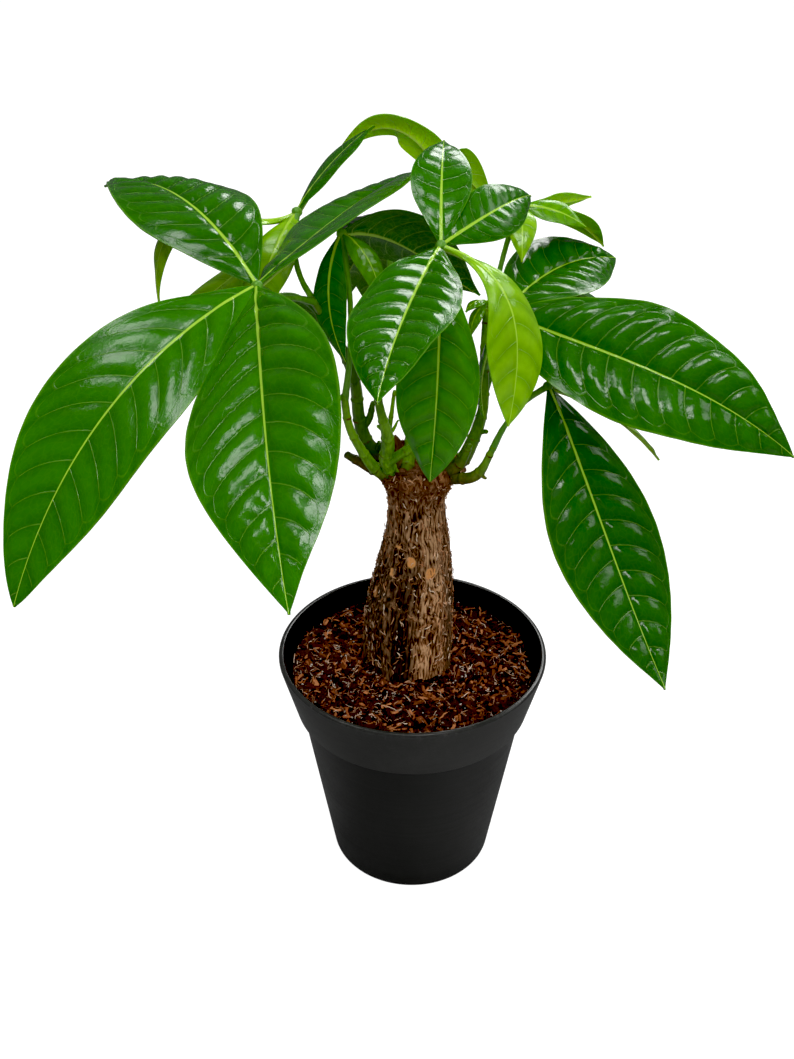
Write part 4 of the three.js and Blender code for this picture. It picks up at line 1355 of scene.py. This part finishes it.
def fluted(rows, turns, grow=0.0):
    """Points round each row of the trunk, in millimetres."""
    z, x, y, radius = (column[:, None] for column in rows.T)
    waves = sum(depth * np.sin(count * turns + twist * z + start) for count, twist, start, depth in FLUTES)
    reach = radius * (1 + waves) + grow
    return np.stack([x + reach * np.cos(turns), y + reach * np.sin(turns), z + 0 * turns], -1)


def apart(turns, middle):
    """How many degrees lie round the trunk from a middle turn."""
    return np.degrees((turns - math.radians(middle) + math.pi) % TAU - math.pi)


def peeled(points, rows, turns, seed):
    """1 where a patch of the outer bark has come off, and 0 elsewhere, with ragged edges."""
    z = points[..., 2]
    ragged = 0.1 * ripples(points, 1.8, seed)
    most = np.zeros(z.shape)
    for turn, height, width, tall in PEELED_PATCHES:
        across = np.radians(apart(turns, turn)) * rows[:, 3][:, None] / (width / 2)
        up = (z - height) / (tall / 2)
        far = (np.abs(across) ** 3 + np.abs(up) ** 3) ** (1 / 3)
        most = np.maximum(most, 1 - eased(far + ragged, 0.88, 1.06))
    return most


def barked(rows, turns, settings):
    """Points of the bark round each row of the trunk, the depth of its furrows and where it has peeled."""
    seed = settings.seed
    points = fluted(rows, turns)
    radial = np.stack([np.cos(turns), np.sin(turns), 0 * turns], -1) + 0 * points
    long = points * (1, 1, 0.12)
    coarse = ripples(long, 5.5, seed, 12)
    middling = ripples(long + ripples(points, 9, seed + 1)[..., None] * 0.5, 1.25, seed + 2, 14)
    fine = ripples(long * (1, 1, 1.6), 0.95, seed + 3, 16)
    furrows = 0.2 * coarse - np.abs(middling) + 0.35 * fine
    z = points[..., 2]
    lumps = ripples(points, 6.5, seed + 4, 10) * eased(z, 163, 172)
    peel = peeled(points, rows, turns, seed + 7)
    skin = furrows * settings.ridge / MM * (1 - 0.8 * peel) + 1.1 * lumps - 0.45 * peel
    points = points + radial * skin[..., None]
    broken = 1.4 * ripples(points[..., :2], 5, seed + 5) + 0.12 * (points[..., 1] - rows[-1][2])
    points[..., 2] += eased(z, 170, 177) * broken
    return points, furrows, peel


def worn(points, turns, seed):
    """How tan the bark is at each point, partly from wear and partly painted light on its lit side, and how
    much painted shade lies in its one deep furrow.
    """
    z = points[..., 2]
    patchy = 0.9 + 0.22 * ripples(points * (1, 1, 0.5), 13, seed, 6)
    off_tan = apart(turns, TAN_TURN) / TAN_SPREAD
    strip = np.exp(-off_tan ** 4) * (1 - eased(z, 126, 150))
    neck = 0.62 * eased(z, 118, 146) * (0.3 + 0.7 * np.exp(-off_tan ** 2 / 4))
    tan = np.clip(np.maximum(strip, neck) * patchy, 0, 1)
    off_furrow = apart(turns, FURROW_TURN) / FURROW_SPREAD
    return tan, np.exp(-off_furrow ** 2) * (1 - eased(z, 132, 152)) * patchy


def hollow(rim, top, seed):
    """Rings of points from the broken rim in to the middle, sunk and rough."""
    middle = np.array([top[1], top[2], top[0] - 4])
    rings = []
    for share in np.linspace(0.1, 1, 22)[:-1]:
        ring = rim * (1 - share) + middle * share
        sunk = 1.3 * ripples(ring, 3.1, seed) - 3.2 * eased(share, 0, 0.4)
        rings.append(ring + UP * (sunk * (1 - share))[:, None])
    return rings


class MONEYTREE_OT_trunk(bpy.types.Operator):
    """Model the swollen trunk with its furrowed bark, broken top and buried roots"""

    bl_idname = "money_tree.trunk"
    bl_label = "Trunk"

    def execute(self, context):
        settings = context.scene.money_tree_trunk
        seed = settings.seed
        coarse_rows, fine_rows = trunk_rows(40), trunk_rows(420)
        buried = SOIL_TOP - 3
        rows = np.vstack([coarse_rows[coarse_rows[:, 0] < buried], fine_rows[fine_rows[:, 0] >= buried]])
        turns = around(TRUNK_SIDES)
        points, furrows, peel = barked(rows, turns, settings)
        tan, furrow = worn(points, turns, seed + 6)
        inner = hollow(points[-1], rows[-1], seed + 8)
        inside = np.clip(0.55 + 0.3 * ripples(np.vstack(inner), 2.2, seed + 9), 0, 1)
        bark = ring_object("swollen_trunk", [*points, *inner], [trunk_bark()])
        # ridge darkens the furrows, partly as painted shade; tan is partly wear and partly painted light;
        # furrow is painted shade.
        numbers = {
            "ridge": (np.clip(0.62 + 0.42 * furrows, 0, 1), inside),
            "peel": (peel, 0 * inside),
            "tan": (tan, 0 * inside),
            "furrow": (furrow, 0 * inside),
        }
        for name, (outer_values, inner_values) in numbers.items():
            add_number(bark, name, np.concatenate([outer_values.ravel(), inner_values]))
        close_ends(bark)
        self.add_roots(bark)
        settle(bark, "trunk", sharp=70)
        return {"FINISHED"}

    def add_roots(self, bark):
        """Sweeps the roots that spread and dip from the root stock."""
        share = np.linspace(0, 1, len(ROOT_RADII))
        reach = 6 + 18 * share
        height = 64 - 36 * share ** 1.4
        for index in range(ROOT_COUNT):
            angle = (index + 0.3) / ROOT_COUNT * TAU
            turn = angle + 0.35 * np.sin(3 * share + angle)
            x, y = ROOT_CENTRE[0] + reach * np.cos(turn), ROOT_CENTRE[1] + reach * np.sin(turn)
            places = np.stack([x, y, height], 1)
            run_along(bark, places, ROOT_RADII, ROOT_STEPS, {
                "Sides": 12, "Step": 2 * MM, "Roughness": 0.6 * MM, "Knob": 0.5 * MM,
                "Knob Place": tuple(places[0] * MM), "Material": trunk_bark(),
            })


class MONEYTREE_OT_bark_flecks(bpy.types.Operator):
    """Strew curled flecks over the bark, and splinters over the broken top"""

    bl_idname = "money_tree.bark_flecks"
    bl_label = "Bark flecks"

    def execute(self, context):
        settings = context.scene.money_tree_trunk
        turns = around(FLECK_SIDES)
        pale = tinted(
            "bark_fleck", 0.7, 0.08, (0, (0.16, 0.06, 0.025)), (1, (1, 0.82, 0.64)),
            (0.45, (0.5, 0.21, 0.09)), (0.78, (0.9, 0.5, 0.28)),
        )
        surface = fluted(trunk_rows(60, SOIL_TOP + 1), turns, 0.1)
        strew("bark_flecks", surface, 180, fibres_tree(), {
            "Density": settings.flecks, "Lowest": 0.0885, "Highest": 0.178, "Smallest": (0.0005, 1.0, 1.0),
            "Largest": (0.0032, 1.0, 1.0), "Tilt": 0.1, "Spin": 1.2, "Grain": (0, 0, 1), "Lift": 0,
            "Crumple": 2.2 * MM, "Crumple Size": 1.7 * MM, "Seed": settings.seed, "Radius": 0.18 * MM,
            "Material": pale,
        })
        brown = tinted(
            "split_wood", 0.75, 0.2, (0, (0.03, 0.012, 0.006)), (1, (0.42, 0.2, 0.08)),
            (0.5, (0.14, 0.05, 0.02)),
        )
        strew("split_crown", fluted(trunk_rows(60, 171.5), turns, -1.5), 50, chips_tree(), {
            "Density": 90000.0, "Lowest": 0.17, "Highest": 0.2, "Smallest": (0.0008, 0.0008, 0.003),
            "Largest": (0.002, 0.0018, 0.0075), "Tilt": 0.9, "Spin": math.pi, "Grain": (1, 0, 0),
            "Lift": 0.4 * MM, "Crumple": 1.6 * MM, "Crumple Size": 2.2 * MM, "Seed": settings.seed + 5,
            "Material": brown,
        })
        return {"FINISHED"}


# Soil
def soil_lump(points):
    """Height of the loose soil's lumps, in millimetres."""
    return 0.7 * ripples(points[..., :2], 9, 21) + 0.35 * ripples(points[..., :2], 4, 22)


def soil_rings(settings, turns):
    """Rings of the soil's skin: up the hole round the trunk, out over the top and down the pot's wall."""
    round_axis = np.stack([np.cos(turns[0]), np.sin(turns[0]), 0 * turns[0]], 1)
    hole = [fluted(row[None, :], turns, 0.5)[0] for row in trunk_rows(14) if row[0] < SOIL_TOP - 1]
    seat = fluted(trunk_rows(400, SOIL_TOP)[:1], turns, 0.5)[0]
    seat[:, 2] = SOIL_TOP - SOIL_DIP
    outer_top = SOIL_TOP + SOIL_RISE
    rim = round_axis * (pot_inside(outer_top - 1.6, settings) - SOIL_GAP) + UP * outer_top
    surface = []
    for share in np.linspace(0, 1, 40):
        ring = seat * (1 - share) + rim * share
        loose = eased(share, 0, 0.1) * (1 - eased(share, 0.9, 1))
        surface.append(ring + UP * (soil_lump(ring) * loose)[:, None])
    heights = (SOIL_TOP - 6, BAND_FOOT - settings.wall / MM, settings.floor / MM + SOIL_GAP)
    wall = [round_axis * (pot_inside(z - 0.1, settings) - SOIL_GAP) + UP * z for z in heights]
    return hole, surface, wall


def loose_kinds(settings):
    """What lies loose on the soil: the name of each kind, its tree and the inputs that are its own."""
    chip = tinted(
        "bark_chip", 0.7, 0, (0, (0.006, 0.002, 0.001)), (1, (0.66, 0.27, 0.12)),
        (0.45, (0.075, 0.024, 0.012)), (0.8, settings.chip_colour),
    )
    fibre = tinted(
        "coir_fibre", 0.55, 0.3, (0, (0.06, 0.018, 0.008)), (1, (1, 0.8, 0.66)),
        (0.4, (0.26, 0.08, 0.03)), (0.8, (0.75, 0.42, 0.26)),
    )
    rootlet = tinted("pale_rootlet", 0.6, 0.2, (0, (0.45, 0.32, 0.22)), (1, (0.95, 0.85, 0.72)))
    grain = tinted("pale_grain", 0.5, 0.2, (0, (0.5, 0.42, 0.35)), (1, (0.85, 0.82, 0.78)))
    return [
        ("bark_chips", chips_tree(), {
            "Density": settings.chips, "Smallest": (0.0018, 0.0004, 0.0003),
            "Largest": (0.0058, 0.0011, 0.0007), "Tilt": 0.9, "Lift": 0.3 * MM, "Crumple": 2.1 * MM,
            "Crumple Size": 2 * MM, "Material": chip,
        }),
        ("large_chips", chips_tree(), {
            "Density": settings.chips / 34, "Smallest": (0.0035, 0.0014, 0.0007),
            "Largest": (0.0075, 0.0028, 0.0013), "Tilt": 0.5, "Lift": 0.5 * MM, "Crumple": 2.4 * MM,
            "Crumple Size": 3.1 * MM, "Material": chip,
        }),
        ("coir_fibres", fibres_tree(), {
            "Density": settings.fibres, "Smallest": (0.002, 1.0, 1.0), "Largest": (0.0085, 1.0, 1.0),
            "Tilt": 0.7, "Lift": 0.9 * MM, "Crumple": 4.6 * MM, "Crumple Size": 3.6 * MM,
            "Radius": 0.15 * MM, "Material": fibre,
        }),
        ("pale_rootlets", fibres_tree(), {
            "Density": settings.fibres / 32, "Smallest": (0.006, 1.0, 1.0), "Largest": (0.02, 1.0, 1.0),
            "Tilt": 0.15, "Lift": 2.2 * MM, "Crumple": 8 * MM, "Crumple Size": 9 * MM, "Steps": 16,
            "Radius": 0.2 * MM, "Material": rootlet,
        }),
        ("pale_grains", chips_tree(), {
            "Density": settings.grains, "Smallest": (0.0003, 0.0003, 0.0003),
            "Largest": (0.0008, 0.0006, 0.0006), "Tilt": 1.5, "Lift": 1.2 * MM, "Crumple": 0.4 * MM,
            "Crumple Size": 0.8 * MM, "Material": grain,
        }),
    ]


class MONEYTREE_OT_soil(bpy.types.Operator):
    """Pack the pot with soil, and strew chips, fibres and pale grains on it"""

    bl_idname = "money_tree.soil"
    bl_label = "Soil"

    def execute(self, context):
        settings = context.scene.money_tree_soil
        pot = context.scene.money_tree_pot
        hole, surface, wall = soil_rings(pot, around(SOIL_SIDES))
        bed = ring_object("soil_bed", [*hole, *surface, *wall], [soil_crumbs()])
        close_ends(bed)
        settle(bed, "soil", sharp=60)
        inside = float(pot_inside(SOIL_TOP - 2, pot) * MM)
        base = {"Lowest": 0.0, "Highest": 0.2, "Spin": math.pi, "Grain": (1, 0, 0), "Reach": inside}
        for index, (name, tree, values) in enumerate(loose_kinds(settings)):
            seeded = {**base, **values, "Seed": settings.seed + 10 * index}
            strew(name, surface, 50, tree, seeded)
        return {"FINISHED"}


# Shoots
class MONEYTREE_OT_shoots(bpy.types.Operator):
    """Sweep the shoots that stand on the broken top, with their joints"""

    bl_idname = "money_tree.shoots"
    bl_label = "Shoots"

    def execute(self, context):
        for name, (route, route_radii, green, slot) in SHOOTS.items():
            shoot = carrier(name + "_stem")
            for places, radii in [(route, route_radii), *TWIGS.get(name, [])]:
                run_along(shoot, places, radii, SHOOT_STEPS, {
                    "Sides": 20, "Step": 0.4 * MM, "Joints Apart": 8.5 * MM, "Joint Swelling": 0.14,
                    "Roughness": 0.22 * MM, "Knob": 1.1 * radii[-1] * MM,
                    "Knob Place": tuple(np.array(places[-1]) * MM), "Material": shoot_skin(green),
                })
            settle(shoot, name, sharp=60)
        return {"FINISHED"}


# Fronds
def leaf_outline(share, leaf):
    """Half the width of a leaflet along its midrib, as a share of the widest."""
    even = share ** (math.log(0.5) / math.log(leaf.widest))
    power = leaf.base + (leaf.tip - leaf.base) * share
    return np.clip(np.sin(math.pi * even), 0, 1) ** power


def midrib(hub, leaf, share):
    """Points and directions of a leaflet's midrib, and the way its upper side faces."""
    reach = np.array(leaf.reach, float)
    along = unit(reach)
    normal = turned(unit(UP - along * along[2]), along, math.radians(leaf.roll))
    side = np.cross(along, normal)
    lifts = (leaf.arch * (1 + leaf.bend), leaf.arch * (1 - leaf.bend))
    inner = [
        hub + reach * (index + 1) / 3 + (normal * lift + side * leaf.sway) / CUBIC_RISE
        for index, lift in enumerate(lifts)
    ]
    p0, p1, p2, p3 = hub, *inner, hub + reach
    t = share[:, None]
    line = (1 - t) ** 3 * p0 + 3 * (1 - t) ** 2 * t * p1 + 3 * (1 - t) * t ** 2 * p2 + t ** 3 * p3
    slope = (1 - t) ** 2 * (p1 - p0) + 2 * (1 - t) * t * (p2 - p1) + t ** 2 * (p3 - p2)
    return line, unit(slope), normal


class Blade(NamedTuple):
    """A leaflet as closed quads, with the maps that its materials read."""

    points: np.ndarray
    quads: np.ndarray
    blade_map: np.ndarray
    vein_map: np.ndarray
    under: np.ndarray
    fresh: np.ndarray


def blade_quads(rows, columns):
    """Faces of a blade: its upper grid of points, its lower one and the walls between their edges."""
    total = rows * columns
    upper = grid_faces(rows, columns)
    lower = grid_faces(rows, columns, total)[:, ::-1]
    left = np.arange(rows - 1) * columns
    right = left + columns - 1
    first = np.arange(columns - 1)
    last = first + (rows - 1) * columns
    edges = [(left, left + columns), (right + columns, right), (first + 1, first), (last, last + 1)]
    walls = [np.stack([start, end, total + end, total + start], 1) for start, end in edges]
    under = np.repeat([0, 1, 0], [len(upper), len(lower), sum(len(wall) for wall in walls)])
    return np.vstack([upper, lower, *walls])[:, ::-1], under


class Grid(NamedTuple):
    """Where the points of a blade lie before it bends, as arrays that spread to its rows and columns.

    along is 0 at the hub and 1 at the tip, and across is -1 and 1 at the edges. wide is half the width in
    millimetres, and vein counts the side veins that are passed."""

    along: np.ndarray
    across: np.ndarray
    wide: np.ndarray
    vein: np.ndarray


def blade_rise(leaf, grid, length, size, seed):
    """Height of a blade's middle over its midrib, and where its quilting of a given size shows."""
    along, across, wide, vein = grid
    outward = np.abs(across)
    place = np.stack([along * length + 0 * across, across * wide], -1)
    ends = eased(along, 0.02, 0.14) * (1 - eased(along, 0.88, 0.99))
    window = eased(outward, 0.0, 0.12) * (1 - eased(outward, 0.55, 0.92)) * ends
    uneven = 0.85 + 0.25 * np.sin(12.9898 * np.floor(vein) + 4.1 * np.sign(across) + seed % 97)
    swelling = 1 - np.abs(2 * (vein % 1) - 1) ** 2.2
    quilt = size * uneven * swelling * window
    pucker = 0.06 * size * ripples(place, 4.5, seed + 1, 10) * window
    drift = 0.045 * leaf.width ** 0.8 * ripples(place, 1.1 * leaf.width, seed + 2, 5) * outward ** 2
    scallop = 0.05 * size * np.sin(TAU * vein) * eased(outward, 0.75, 1)
    profile = wide * (leaf.fold * outward - leaf.curl * outward ** 2)
    return profile + quilt + pucker + (drift + scallop) * ends, window


def blade_depths(grid, thickness, ridge):
    """How far the upper and the lower side lie from a blade's middle, the midrib and veins included."""
    along, across, wide, vein = grid
    on_rib = np.exp(-((across * wide / (0.75 - 0.5 * along)) ** 2))
    thin = thickness * (0.5 - 0.22 * np.abs(across))
    on_vein = np.exp(-((np.minimum(vein % 1, 1 - vein % 1) / 0.07) ** 2))
    above = thin + on_rib * (0.5 - 0.38 * along)
    below = thin + on_rib * (1.25 - 0.95 * along) + ridge * on_vein
    return above, below


def make_blade(hub, leaf, settings, rng):
    """The quilted blade round a curved midrib, with its veins raised below."""
    length = float(np.linalg.norm(leaf.reach))
    rows = int(np.clip(length * MM / settings.row_length, 24, 150))
    even = np.linspace(0, 1, rows)
    share = 0.75 * even + 0.25 * (0.5 - 0.5 * np.cos(math.pi * even))
    line, tangent, normal = midrib(hub, leaf, share)
    sideways = unit(np.cross(tangent, normal))
    sideways = turned(sideways, tangent, math.radians(leaf.twist) * (share - 0.5))
    face = np.cross(sideways, tangent)

    columns = SIDE_COLUMNS if leaf.width > NARROW_LEAF else NARROW_COLUMNS
    across = np.array([-column for column in reversed(columns)] + [0.0] + list(columns))[None, :]
    along = share[:, None]
    least = LEAF_STALK + (LEAF_TIP - LEAF_STALK) * share
    wide = np.maximum(leaf.width / 2 * leaf_outline(share, leaf), least)[:, None]
    outward = np.abs(across)
    lead = rng.uniform(0.9, 1.1) * wide / length * (leaf.slant * outward + 0.45 * outward ** 2.5)
    stagger = rng.uniform(0.25, 0.6)
    phase = leaf.veins * (along - lead) + rng.uniform(0, 1)
    grid = Grid(along, across, wide, phase + stagger * (across > 0))

    size = settings.quilting / MM * leaf.quilt * np.clip(leaf.width / 40, 0.3, 1)
    height, window = blade_rise(leaf, grid, length, size, int(rng.integers(1_000_000)))
    above, below = blade_depths(grid, settings.thickness / MM, 0.22 * size * window)
    flat = line[:, None, :] + sideways[:, None, :] * (across * wide)[..., None]
    top = flat + face[:, None, :] * (height + above)[..., None]
    bottom = flat + face[:, None, :] * (height - below)[..., None]
    points = np.vstack([top.reshape(-1, 3), bottom.reshape(-1, 3)])

    quads, under = blade_quads(rows, across.size)
    along_at, across_at, off_rib_at, phase_at = (
        np.tile((values + 0 * phase).ravel(), 2)[quads] for values in (along, across, across * wide, phase)
    )
    on_right = across_at.mean(1) > 0
    blade_map = np.stack([along_at, 0.5 + 0.01 * off_rib_at], -1)
    vein_map = np.stack([phase_at + stagger * on_right[:, None], 0.5 + 0.5 * across_at], -1)
    fresh = np.clip(leaf.fresh + rng.uniform(-0.03, 0.03), 0, 1)
    return Blade(points, quads, blade_map, vein_map, under, np.full(len(points), fresh))


class MONEYTREE_OT_fronds(bpy.types.Operator):
    """Grow the fronds: quilted leaflets round a hub, on a petiole"""

    bl_idname = "money_tree.fronds"
    bl_label = "Fronds"

    def execute(self, context):
        settings = context.scene.money_tree_leaf
        for index, (name, (slot, petiole, leaflets)) in enumerate(FRONDS.items()):
            rng = np.random.default_rng(settings.seed + 100 * index)
            hub = np.array(petiole[-1], float)
            blades = [make_blade(hub, leaf, settings, rng) for leaf in leaflets]
            starts = np.cumsum([0] + [len(blade.points) for blade in blades[:-1]])
            quads = np.vstack([blade.quads + start for blade, start in zip(blades, starts)])
            points = np.vstack([blade.points for blade in blades])
            frond = new_object(name + "_leaves", points, quads, [leaf_upper(), leaf_under()])
            under = np.concatenate([blade.under for blade in blades])
            frond.data.polygons.foreach_set("material_index", under)
            add_map(frond, "blade", np.vstack([blade.blade_map.reshape(-1, 2) for blade in blades]))
            add_map(frond, "veins", np.vstack([blade.vein_map.reshape(-1, 2) for blade in blades]))
            add_number(frond, "fresh", np.concatenate([blade.fresh for blade in blades]))
            small = YOUNG_PETIOLE if name == "young_frond" else 1
            run_along(frond, petiole, [small * radius for radius in PETIOLE_RADII], PETIOLE_STEPS, {
                "Sides": 16, "Step": 0.8 * MM, "Joint Swelling": 0.0, "Roughness": 0.25 * MM,
                "Knob": 1.75 * small * MM, "Knob Place": tuple(hub * MM), "Material": petiole_skin(),
            })
            settle(frond, name, sharp=45)
        return {"FINISHED"}


# Panel and registration
OPERATORS = (
    MONEYTREE_OT_stage,
    MONEYTREE_OT_pot,
    MONEYTREE_OT_soil,
    MONEYTREE_OT_trunk,
    MONEYTREE_OT_bark_flecks,
    MONEYTREE_OT_shoots,
    MONEYTREE_OT_fronds,
)


class MONEYTREE_PT_panel(bpy.types.Panel):
    """Buttons that make the pieces, and their settings"""

    bl_idname = "MONEYTREE_PT_panel"
    bl_label = "Money Tree"
    bl_space_type = "VIEW_3D"
    bl_region_type = "UI"
    bl_category = "Money Tree"

    def draw(self, context):
        for operator in OPERATORS:
            self.layout.operator(operator.bl_idname)
        for name, group in SETTINGS.items():
            box = self.layout.box()
            box.label(text=group.__doc__)
            for setting in group.__annotations__:
                box.prop(getattr(context.scene, name), setting)


CLASSES = (*SETTINGS.values(), *OPERATORS, MONEYTREE_PT_panel)


def register():
    """Adds the settings, the operators and the panel to Blender."""
    for cls in CLASSES:
        bpy.utils.register_class(cls)
    for name, group in SETTINGS.items():
        setattr(bpy.types.Scene, name, PointerProperty(type=group))


def unregister():
    """Takes them away again."""
    for name in SETTINGS:
        delattr(bpy.types.Scene, name)
    for cls in reversed(CLASSES):
        bpy.utils.unregister_class(cls)


def main():
    """Makes every piece in order."""
    register()
    bpy.ops.money_tree.stage()
    bpy.ops.money_tree.pot()
    bpy.ops.money_tree.soil()
    bpy.ops.money_tree.trunk()
    bpy.ops.money_tree.bark_flecks()
    bpy.ops.money_tree.shoots()
    bpy.ops.money_tree.fronds()


if __name__ == "__main__":
    main()
